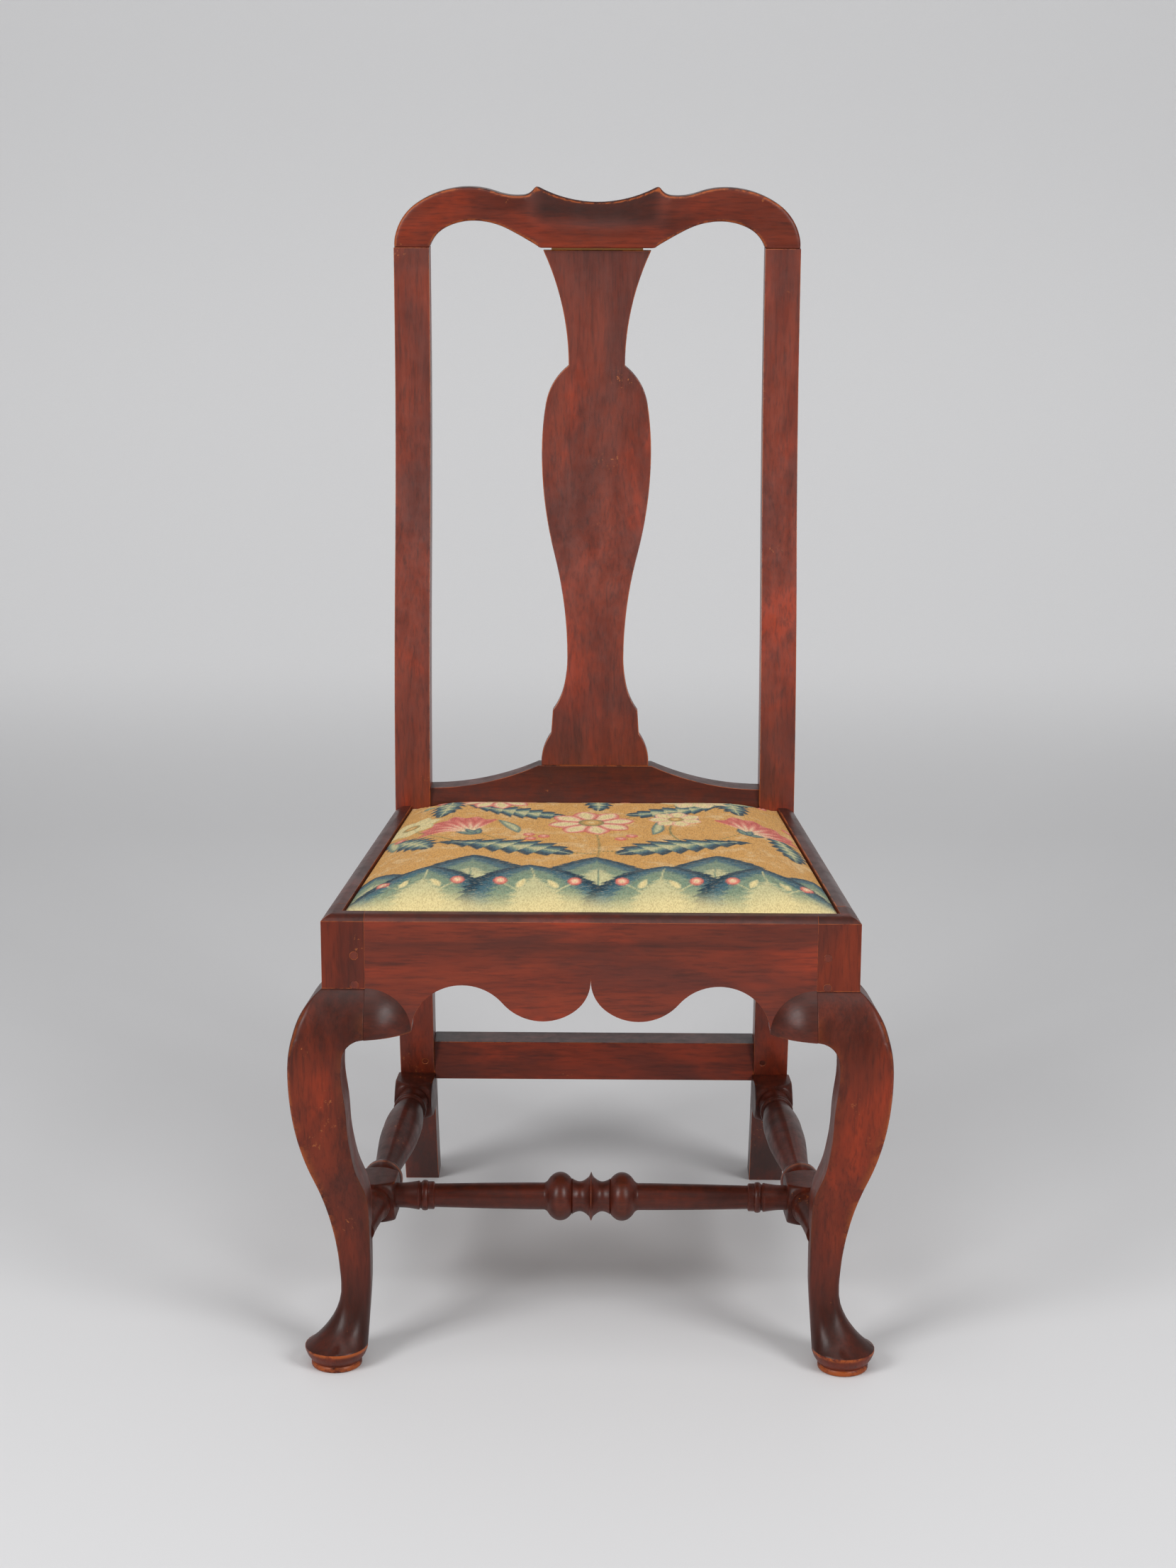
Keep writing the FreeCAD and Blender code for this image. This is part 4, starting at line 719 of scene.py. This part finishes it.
SEAT_FRONT, SEAT_BACK = -0.21, 0.146
SEAT_FRONT_HALF, SEAT_BACK_HALF = 0.2162, 0.181
EDGE_Z, UNDER_Z, CROWN = 0.4221, 0.4019, 0.0205
CROWN_RUN = 0.12
WEB_COLUMNS = (-0.09096, 0.0, 0.09096)
WEB_ROWS = (-0.11787, -0.032, 0.05387)
WEB_FRONT, WEB_BACK, WEB_INSET = -0.1968, 0.1328, 0.0132
WEB_WIDTH, WEB_THICK = 0.05, 0.001
WEB_Z, WEB_LIFT, WEB_BEND = 0.419, 0.0011, 0.027
WEB_STEPS = 60
# Section of a band, as shares of half its width and of its thickness
WEB_SECTION = ((-1, 0.2), (-0.99, 0), (0.99, 0), (1, 0.2), (1, 0.8), (0.99, 1), (-0.99, 1), (-1, 0.8))
SACK_Z, SACK_END, SACK_SIDE = 0.4216, 0.0024, 0.0025
CLOTH_WIDE, CLOTH_DEEP = 72, 60
DRAWN_IN = 0.0012
CLOTH_FRAMES = 20
CLOTH_MOVE = 0.0035
PAD_BELOW = 0.0008
COVER_FINER, COVER_FOLD, COVER_RAGGED = 4, 0.004, 0.0009
COVER_EDGE = linear((0.79, 0.68, 0.46))
# Skirt of the cover: reach beyond its edge, height, and share of the torn edge's raggedness
SKIRT = ((0.0004, EDGE_Z - 0.004, 0), (0.0004, EDGE_Z - 0.012, 0), (0.0003, UNDER_Z + 0.0012, 0),
         (-0.0008, UNDER_Z, 0), (-0.008, UNDER_Z, 0), (-0.016, UNDER_Z, 0), (-0.0225, UNDER_Z, 1))


def seat_half(y, inset=0.0):
    """Half-width of the seat at a depth."""
    share = (y - SEAT_FRONT) / (SEAT_BACK - SEAT_FRONT)
    return SEAT_FRONT_HALF + (SEAT_BACK_HALF - SEAT_FRONT_HALF) * share - inset


def cover_rise(x, y):
    """Height of the crowned cover above its edge, as a share of the crown."""
    to_side = np.clip((seat_half(y) - abs(x)) / CROWN_RUN, 0, 1)
    to_end = np.clip(np.minimum(y - SEAT_FRONT, SEAT_BACK - y) / CROWN_RUN, 0, 1)
    return (1 - (1 - to_side) ** 6.5) * (1 - (1 - to_end) ** 7.0)


def web_strip(node, number, start, end, level):
    """One linen band along a line, bent over and under the bands that it meets."""
    name = "%s_%d" % (node, number)
    run = (end - start).length
    axis = (end - start).normalized()
    aside = Vector((-axis.y, axis.x, 0)) * (WEB_WIDTH / 2)
    rings = []
    for i in range(WEB_STEPS + 1):
        distance = run * i / WEB_STEPS
        z = level(distance)
        rings.append([start + axis * distance + aside * across + Vector((0, 0, z + WEB_THICK * up))
                      for across, up in WEB_SECTION])
    verts, faces = loft(rings)
    strip = show(name, skin(name + "_cloth", verts, faces), linen, "slip_seat", [node], 50.0)


def woven_level(crossings, origin, first_up):
    """Height of a band along its run, over and under the bands that it crosses in turn."""
    stops, heights = [-1.0], [0.0]
    for k, middle in enumerate(crossings):
        up = float((k + first_up) % 2)
        stops += [middle - origin - WEB_BEND, middle - origin + WEB_BEND]
        heights += [up, up]
    stops.append(1.0)
    heights.append(0.0)
    return lambda run: WEB_Z + WEB_LIFT * float(np.interp(run, stops, heights))


def webbing():
    """Three bands front to back and three side to side, interlaced."""
    for i, x in enumerate(WEB_COLUMNS):
        level = woven_level(WEB_ROWS, WEB_FRONT, i % 2)
        web_strip("webbing_lengthwise", i + 1, Vector((x, WEB_FRONT, 0)), Vector((x, WEB_BACK, 0)), level)
    for j, y in enumerate(WEB_ROWS):
        reach = seat_half(y, WEB_INSET)
        level = woven_level(WEB_COLUMNS, -reach, (j + 1) % 2)
        web_strip("webbing_crosswise", j + 1, Vector((-reach, y, 0)), Vector((reach, y, 0)), level)


def sackcloth():
    """Coarse cloth over the webbing, a little slack between the bands."""
    verts = []
    for j in range(CLOTH_DEEP + 1):
        y = SEAT_FRONT + SACK_END + (SEAT_BACK - SEAT_FRONT - 2 * SACK_END) * j / CLOTH_DEEP
        for i in range(CLOTH_WIDE + 1):
            x = seat_half(y, SACK_SIDE) * (2 * i / CLOTH_WIDE - 1)
            verts.append((x, y, SACK_Z + 0.0003 * math.sin(69 * x + 0.5) * math.sin(73 * y)))
    mesh = skin("sackcloth_cloth", verts, grid_faces(CLOTH_DEEP + 1, CLOTH_WIDE + 1))
    cloth = show("sackcloth_sheet", mesh, sacking, "slip_seat", ["sackcloth"])


def stuffing(grid):
    """Pad under the cover, kept just below it everywhere."""
    mesh, _ = remeshed("seat_stuffing", 0.004, 6)
    deep, wide = grid.shape[:2]
    for vertex in mesh.vertices:
        x, y, z = vertex.co
        j = int(np.clip(round((y - SEAT_FRONT) / (SEAT_BACK - SEAT_FRONT) * (deep - 1)), 0, deep - 1))
        i = int(np.clip(round((x / seat_half(y) + 1) / 2 * (wide - 1)), 0, wide - 1))
        under = grid[max(j - 1, 0):j + 2, max(i - 1, 0):i + 2, 2].min() - PAD_BELOW
        vertex.co.z = min(z, max(under, EDGE_Z))
    pad = show("seat_stuffing_pad", mesh, stuffing_felt, "slip_seat", ["seat_stuffing"])


def refine(grid, factor):
    """Smooth in-between rows of a grid of points."""
    ends = np.concatenate([2 * grid[:1] - grid[1:2], grid, 2 * grid[-1:] - grid[-2:-1]])
    a, b, c, d = ends[:-3], ends[1:-2], ends[2:-1], ends[3:]
    rows = []
    for k in range(factor):
        t = k / factor
        rows.append(0.5 * (2 * b + (c - a) * t + (2 * a - 5 * b + 4 * c - d) * t ** 2
                           + (3 * b - a - 3 * c + d) * t ** 3))
    mixed = np.stack(rows, 1).reshape((-1,) + grid.shape[1:])
    return np.concatenate([mixed, grid[-1:]])


def crowned_cloth():
    """Cover's top as a grid: drawn in between its corners, then pressed up by the stuffing as a cloth."""
    wide, deep = CLOTH_WIDE, CLOTH_DEEP
    grid = np.zeros((deep + 1, wide + 1, 3))
    for j in range(deep + 1):
        v = j / deep
        for i in range(wide + 1):
            u = 2 * i / wide - 1
            y = SEAT_FRONT + (SEAT_BACK - SEAT_FRONT) * v
            half = seat_half(y, DRAWN_IN * math.sin(math.pi * v))
            y += DRAWN_IN * (1 - u * u) * (1 - 2 * v)
            grid[j, i] = (u * half, y, EDGE_Z + 0.88 * CROWN * float(cover_rise(u * half, y)))
    mesh = bpy.data.meshes.new("cover_start")
    mesh.from_pydata([tuple(p) for p in grid.reshape(-1, 3)], [], grid_faces(deep + 1, wide + 1))
    sheet = added("cover_start", mesh)
    rim = [j * (wide + 1) + i for j in range(deep + 1) for i in range(wide + 1)
           if i in (0, wide) or j in (0, deep)]
    sheet.vertex_groups.new(name="rim").add(rim, 1.0, "REPLACE")
    settings = sheet.modifiers.new("cloth", "CLOTH").settings
    settings.quality = 6
    settings.mass = 0.25
    settings.tension_stiffness = 12
    settings.compression_stiffness = 12
    settings.bending_stiffness = 0.4
    settings.use_pressure = True
    settings.uniform_pressure_force = 4
    settings.vertex_group_mass = "rim"
    settings.effector_weights.gravity = 0
    for number in range(1, CLOTH_FRAMES + 1):
        scene.frame_set(number)
    result = sheet.evaluated_get(bpy.context.evaluated_depsgraph_get()).data
    moved = np.array([v.co for v in result.vertices]).reshape(grid.shape) - grid
    bpy.data.objects.remove(sheet)
    scene.frame_set(1)
    length = np.linalg.norm(moved, axis=2, keepdims=True)
    return grid + moved * np.minimum(1.0, CLOTH_MOVE / np.maximum(length, 1e-9))


class Needlework:
    """Stitched picture on points given in millimetres; every call lays one motif over the last."""

    GOLD = (0.81, 0.6, 0.31)
    CREAM = (0.88, 0.805, 0.58)
    PALE = (0.76, 0.74, 0.56)
    SAGE = (0.47, 0.55, 0.46)
    BLUE = (0.24, 0.38, 0.43)
    TEAL = (0.11, 0.22, 0.28)
    PINK = (0.85, 0.5, 0.43)
    ROSE = (0.76, 0.33, 0.3)
    BLUSH = (0.92, 0.76, 0.63)
    STEM = (0.46, 0.46, 0.29)
    FLAT, PROUD = 0.00035, 0.0006

    def __init__(self, x, y):
        self.x, self.y = x, y
        self.color = np.tile(np.array(self.GOLD), (len(x), 1))
        self.ground = np.ones(len(x))
        self.raised = np.zeros(len(x))

    def lay(self, cover, color, raised=FLAT):
        """Covers what is below with a colour and a height of thread."""
        cover = np.clip(cover, 0, 1)
        self.color = self.color * (1 - cover[:, None]) + np.asarray(color) * cover[:, None]
        self.ground = self.ground * (1 - cover)
        self.raised = np.maximum(self.raised * (1 - cover), raised * cover)

    def shade(self, share, colors):
        """Colour by share, 0 to 1, through a row of thread colours in steps, as stitched."""
        stops = np.linspace(0, 1, len(colors))
        return np.stack([np.interp(share, stops, [c[k] for c in colors]) for k in range(3)], 1)

    def local(self, x, y, angle):
        """Points as distances along and across an axis from a foot."""
        turn = math.radians(angle)
        dx, dy = self.x - x, self.y - y
        return dx * math.cos(turn) + dy * math.sin(turn), dy * math.cos(turn) - dx * math.sin(turn)

    def leaf(self, x, y, angle, length, width, bend, colors, teeth=0, bite=0.0, blunt=0.75, rib=None):
        """Leaf or petal from its foot: colours run from the margin to the heart."""
        u, v = self.local(x, y, angle)
        t = np.clip(u / length, 0, 1)
        v = v - bend * length * t * t
        half = 0.5 * width * np.sin(math.pi * t ** blunt) ** 0.8
        if teeth:
            half = half * (1 - bite * (t * teeth % 1.0))
        inside = half - abs(v)
        cover = smooth(inside, -0.3, 0.8) * (u > 0) * (u < length)
        thread = 0.05 * np.sin(2 * math.pi * (u + 0.6 * abs(v)) / 2.6)
        color = self.shade(np.clip(inside / (0.34 * width) + thread, 0, 1), colors)
        self.lay(cover, color)
        if rib:
            self.lay(cover * smooth(1.1 - abs(v), 0, 0.8) * (t < 0.9), rib, self.PROUD)

    def stem(self, points, color=None, width=1.7):
        """Curved stem through three points."""
        a, b, c = [np.array(point, float) for point in points]
        near = np.full(len(self.x), 1e9)
        for t in np.linspace(0, 1, 40):
            place = a * (1 - t) ** 2 + b * 2 * t * (1 - t) + c * t ** 2
            near = np.minimum(near, np.hypot(self.x - place[0], self.y - place[1]))
        self.lay(smooth(width - near, 0, 1.0), color or self.STEM, self.PROUD)

    def dot(self, x, y, radius, colors):
        """Round knot of thread."""
        near = np.hypot(self.x - x, self.y - y)
        color = self.shade(np.clip(1 - near / radius, 0, 1), colors)
        self.lay(smooth(radius - near, -0.3, 0.9), color, self.PROUD)

    def rosette(self, x, y, radius, petals, colors, turn):
        """Ring of petals round a knot."""
        for k in range(petals):
            angle = turn + 360 * k / petals
            self.leaf(x, y, angle, radius, 2.5 * radius / petals * 1.9, 0.0, colors, blunt=1.6)
        self.dot(x, y, 0.3 * radius, (self.STEM, self.GOLD, self.CREAM))

    def fan(self, x, y, angle, radius, spread, colors):
        """Fan-shaped flower with a toothed rim and streaked petals."""
        u, v = self.local(x, y, angle)
        reach, turn = np.hypot(u, v), np.degrees(np.arctan2(v, u))
        rim = radius * (1 - 0.13 * abs((turn / 11.0) % 2 - 1) - 0.12 * (turn / spread) ** 2)
        cover = smooth(rim - reach, -0.3, 0.8) * smooth(spread - abs(turn), 0, 3)
        streak = 0.16 * np.cos(np.radians(turn) * 22)
        self.lay(cover, self.shade(np.clip(reach / radius + streak, 0, 1), colors))
        for side in (-1, 0, 1):
            self.leaf(x - 9 * math.cos(math.radians(angle)), y - 9 * math.sin(math.radians(angle)),
                      angle + 38 * side, 22, 9, 0.0, (self.TEAL, self.BLUE, self.SAGE))


def crewel(x, y):
    """Flowering stems over a border of large pointed leaves."""
    n = Needlework(x, y)
    broad = (n.TEAL, n.TEAL, n.BLUE, n.BLUE, n.SAGE, n.SAGE, n.SAGE, n.PALE)
    leaf = (n.TEAL, n.TEAL, n.BLUE, n.SAGE, n.PALE)
    soft = (n.BLUE, n.SAGE, n.PALE)
    bloom = (n.ROSE, n.PINK, n.BLUSH, n.CREAM)
    opened = (n.CREAM, n.BLUSH, n.PINK, n.ROSE, n.PINK)
    for points in (
            ((0, 70), (14, 150), (-4, 226)), ((2, 118), (-60, 128), (-112, 196)),
            ((2, 128), (80, 120), (146, 200)), ((-84, 152), (-140, 140), (-172, 236)),
            ((0, 205), (-50, 250), (-92, 306)), ((0, 205), (44, 262), (96, 308)),
            ((96, 148), (60, 180), (78, 236))):
        n.stem(points)
    for row in (
            (-18, 118, 146, 128, 56, 0.3), (22, 118, 36, 128, 56, -0.3), (-150, 140, 112, 92, 38, 0.2),
            (188, 140, 94, 92, 36, 0.2), (-26, 250, 170, 104, 42, -0.25), (30, 256, 8, 104, 42, 0.28),
            (-148, 256, 74, 92, 38, 0.2), (140, 262, 104, 90, 38, -0.2), (4, 270, 84, 80, 34, 0.3)):
        n.leaf(*row, leaf, 8, 0.42, 0.8, n.PALE)
    for row in (
            (-70, 190, 100, 50), (56, 186, 70, 48), (-186, 170, 84, 50), (60, 318, 150, 44),
            (-46, 306, 60, 44), (-128, 300, 150, 44), (128, 318, 30, 44), (100, 236, 120, 42)):
        n.leaf(*row, 13, 0.25, soft, blunt=0.9)
    n.rosette(-2, 226, 42, 8, bloom, 12)
    n.fan(-114, 192, 120, 58, 58, opened)
    n.fan(146, 198, 72, 58, 58, opened)
    n.rosette(78, 240, 26, 7, (n.PINK, n.BLUSH, n.CREAM, n.CREAM), 30)
    n.rosette(-174, 246, 28, 7, (n.PALE, n.CREAM, n.CREAM), 8)
    n.rosette(-94, 314, 38, 9, bloom, 0)
    n.rosette(98, 316, 36, 8, (n.PALE, n.CREAM, n.BLUSH, n.CREAM), 20)
    for x0, y0 in ((-58, 170), (-46, 178), (-60, 184), (26, 170), (36, 180), (30, 318),
                   (42, 328), (-150, 334), (164, 334), (-182, 206), (186, 262), (-20, 332)):
        n.dot(x0, y0, 6.0, (n.ROSE, n.PINK, n.BLUSH))
    for x0, *shape in (
            (-196, 84, 100, 110, 0.1), (-104, 96, 128, 140, -0.08), (4, 86, 122, 134, 0.08),
            (112, 95, 128, 140, -0.1), (200, 96, 100, 110, -0.1)):
        n.leaf(x0, -14, *shape, broad, 13, 0.1, 0.62, n.SAGE)
    for x0, *shape in (
            (-152, 92, 94, 142, -0.12), (-48, 88, 100, 144, 0.12), (60, 93, 98, 144, -0.12),
            (158, 88, 94, 142, 0.12)):
        n.leaf(x0, -18, *shape, broad, 13, 0.1, 0.6, n.PALE)
        for k in (-1, 1):
            n.stem(((x0, 6), (x0 + 14 * k, 28), (x0 + 32 * k, 40)), n.PALE, 1.3)
            n.leaf(x0 + 18 * k, 32, 90 + 30 * k, 17, 8, 0.1, (n.PALE, n.CREAM))
            n.dot(x0 + 33 * k, 43, 6.5, (n.ROSE, n.PINK, n.BLUSH, n.CREAM))
    foreground = 0.9 * (1 - smooth(n.y + 4 * np.sin(n.x / 17), 4, 34))
    n.lay(foreground, n.CREAM, 0.0)
    return n


def needlework_cover(grid):
    """Worked cloth over the crown, down the seat's sides and turned under, where a flange holds the tacks."""
    grid = refine(np.swapaxes(refine(grid, COVER_FINER), 0, 1), COVER_FINER).swapaxes(0, 1)
    deep, wide = grid.shape[:2]
    top = grid.reshape(-1, 3)
    work = crewel(top[:, 0] * 1000, (top[:, 1] - SEAT_FRONT) * 1000)
    top[:, 2] += work.raised * smooth(top[:, 2], EDGE_Z, EDGE_Z + COVER_FOLD)
    faces = grid_faces(deep, wide)
    rim = list(range(wide))
    rim += [j * wide + wide - 1 for j in range(1, deep)]
    rim += [(deep - 1) * wide + i for i in range(wide - 2, -1, -1)]
    rim += [j * wide for j in range(deep - 2, 0, -1)]
    edge = top[rim]
    corners = [0, wide - 1, wide + deep - 2, 2 * wide + deep - 3]
    runs = [edge[corners[(n + 1) % 4], :2] - edge[corners[n], :2] for n in range(4)]
    sides = [np.array([run[1], -run[0]]) / np.hypot(*run) for run in runs]
    mitres = [(sides[n - 1] + sides[n]) / (1 + sides[n - 1] @ sides[n]) for n in range(4)]
    outward = np.zeros((len(rim), 2))
    for n, stop in enumerate(corners[1:] + [len(rim)]):
        for k in range(corners[n], stop):
            share = np.hypot(*(edge[k, :2] - edge[corners[n], :2])) / np.hypot(*runs[n])
            outward[k] = mitres[n] * (1 - share) + mitres[(n + 1) % 4] * share
    ragged = np.random.default_rng(5).normal(0, COVER_RAGGED, len(rim))
    verts, last = list(top), rim
    for outset, z, tear in SKIRT:
        ring = list(range(len(verts), len(verts) + len(rim)))
        for k in range(len(rim)):
            reach = outset + tear * ragged[k]
            verts.append((edge[k, 0] + outward[k, 0] * reach, edge[k, 1] + outward[k, 1] * reach, z))
            after = (k + 1) % len(rim)
            faces.append((last[k], ring[k], ring[after], last[after]))
        last = ring
    skirt = len(verts) - len(top)
    colors = np.concatenate([linear(work.color), np.tile(COVER_EDGE, (skirt, 1))])
    mesh = skin("needlework_cloth", verts, faces)
    values = np.concatenate([colors, np.ones((len(colors), 1))], 1).astype(np.float32)
    mesh.attributes.new("stitch", "FLOAT_COLOR", "POINT").data.foreach_set("color", values.reshape(-1))
    paint(mesh, "ground", np.concatenate([work.ground, np.zeros(skirt)]))
    cover = show("needlework_cover_cloth", mesh, stitched, "slip_seat", ["needlework_cover"])


webbing()
sackcloth()
crowned = crowned_cloth()
stuffing(crowned)
needlework_cover(crowned)
for name in ("webbing_tacks", "cover_tacks"):
    nodes[name].data.materials.clear()
    nodes[name].data.materials.append(tack_iron)


# Camera, floor and light

SENSOR = 36.0
FOCAL_PIXELS, FRAME_PIXELS = 4030.0, 2212.0
CAMERA_DOWN, CAMERA_TURN, CAMERA_ROLL = 0.2515, 0.01, 0.003
SWEEP_RADIUS, SWEEP_HALF, SWEEP_STEPS = 1.6, 6.0, 24
CHAIR_MIDDLE = (0, 0, 0.45)

camera_data = bpy.data.cameras.new("camera")
camera = added("camera", camera_data)
camera_data.sensor_fit = "VERTICAL"
camera_data.sensor_height = SENSOR
camera_data.lens = SENSOR * FOCAL_PIXELS / FRAME_PIXELS
camera_data.clip_end = 50.0
camera.location = (0.0208, -2.5972, 1.1535)
camera.rotation_mode = "QUATERNION"
aim = Euler((math.pi / 2 - CAMERA_DOWN, 0, CAMERA_TURN)).to_quaternion()
camera.rotation_quaternion = aim @ Quaternion((0, 0, 1), CAMERA_ROLL)
scene.camera = camera


def backdrop():
    """Seamless pale sweep: floor, curve and wall."""
    profile = [(-SWEEP_HALF, 0.0), (SWEEP_RADIUS, 0.0)]
    for i in range(1, SWEEP_STEPS + 1):
        turn = math.pi / 2 * i / SWEEP_STEPS
        profile.append((SWEEP_RADIUS * (1 + math.sin(turn)), SWEEP_RADIUS * (1 - math.cos(turn))))
    profile.append((2 * SWEEP_RADIUS, SWEEP_HALF))
    mesh = bpy.data.meshes.new("sweep")
    verts = [(x, y, z) for y, z in profile for x in (-SWEEP_HALF, SWEEP_HALF)]
    mesh.from_pydata(verts, [], grid_faces(len(profile), 2))
    mesh.shade_smooth()
    s = Shader("sweep_paper")
    grain = s.noise(s.place(), 900.0, 2.0)
    height = s.add("SeparateXYZ", {0: s.place()}).outputs["Z"]
    # Painted light: the paper is lighter up the wall than on the floor, and a little darker again higher up,
    # in place of light falling on it.
    paper_painted_light = s.mix(s.ramp(height, 0.0, 0.14), srgb(0.845, 0.845, 0.85), srgb(0.93, 0.93, 0.935))
    paper_painted_light = s.mix(s.ramp(height, 0.45, 1.2), paper_painted_light, srgb(0.895, 0.895, 0.9))
    s.finish(s.mix(s.ramp(grain, 0.3, 0.7, 0.0, 0.12), paper_painted_light, srgb(0.8, 0.8, 0.805)), 0.75)
    mesh.materials.append(s.material)
    paper_sweep = added("sweep", mesh)


def lamp(name, place, target, width, height, power):
    """Soft rectangular light that faces its target."""
    data = bpy.data.lights.new(name, "AREA")
    data.shape = "RECTANGLE"
    data.size = width
    data.size_y = height
    data.energy = power
    light = added(name, data)
    light.location = place
    light.rotation_euler = (Vector(target) - Vector(place)).to_track_quat("-Z", "Y").to_euler()


backdrop()
lamp("softbox_left", (-2.3, -2.3, 2.2), CHAIR_MIDDLE, 1.2, 1.8, 70)
lamp("softbox_right", (2.3, -2.3, 2.2), CHAIR_MIDDLE, 1.2, 1.8, 66)
lamp("softbox_over", (0, -0.9, 3.4), (0, 0.3, 0.5), 2.4, 1.6, 26)
world = bpy.data.worlds.new("studio")
world.use_nodes = True
daylight = world.node_tree.nodes["Background"]
daylight.inputs["Color"].default_value = (1, 1, 1, 1)
daylight.inputs["Strength"].default_value = 0.27
scene.world = world
scene.view_settings.view_transform = "Standard"
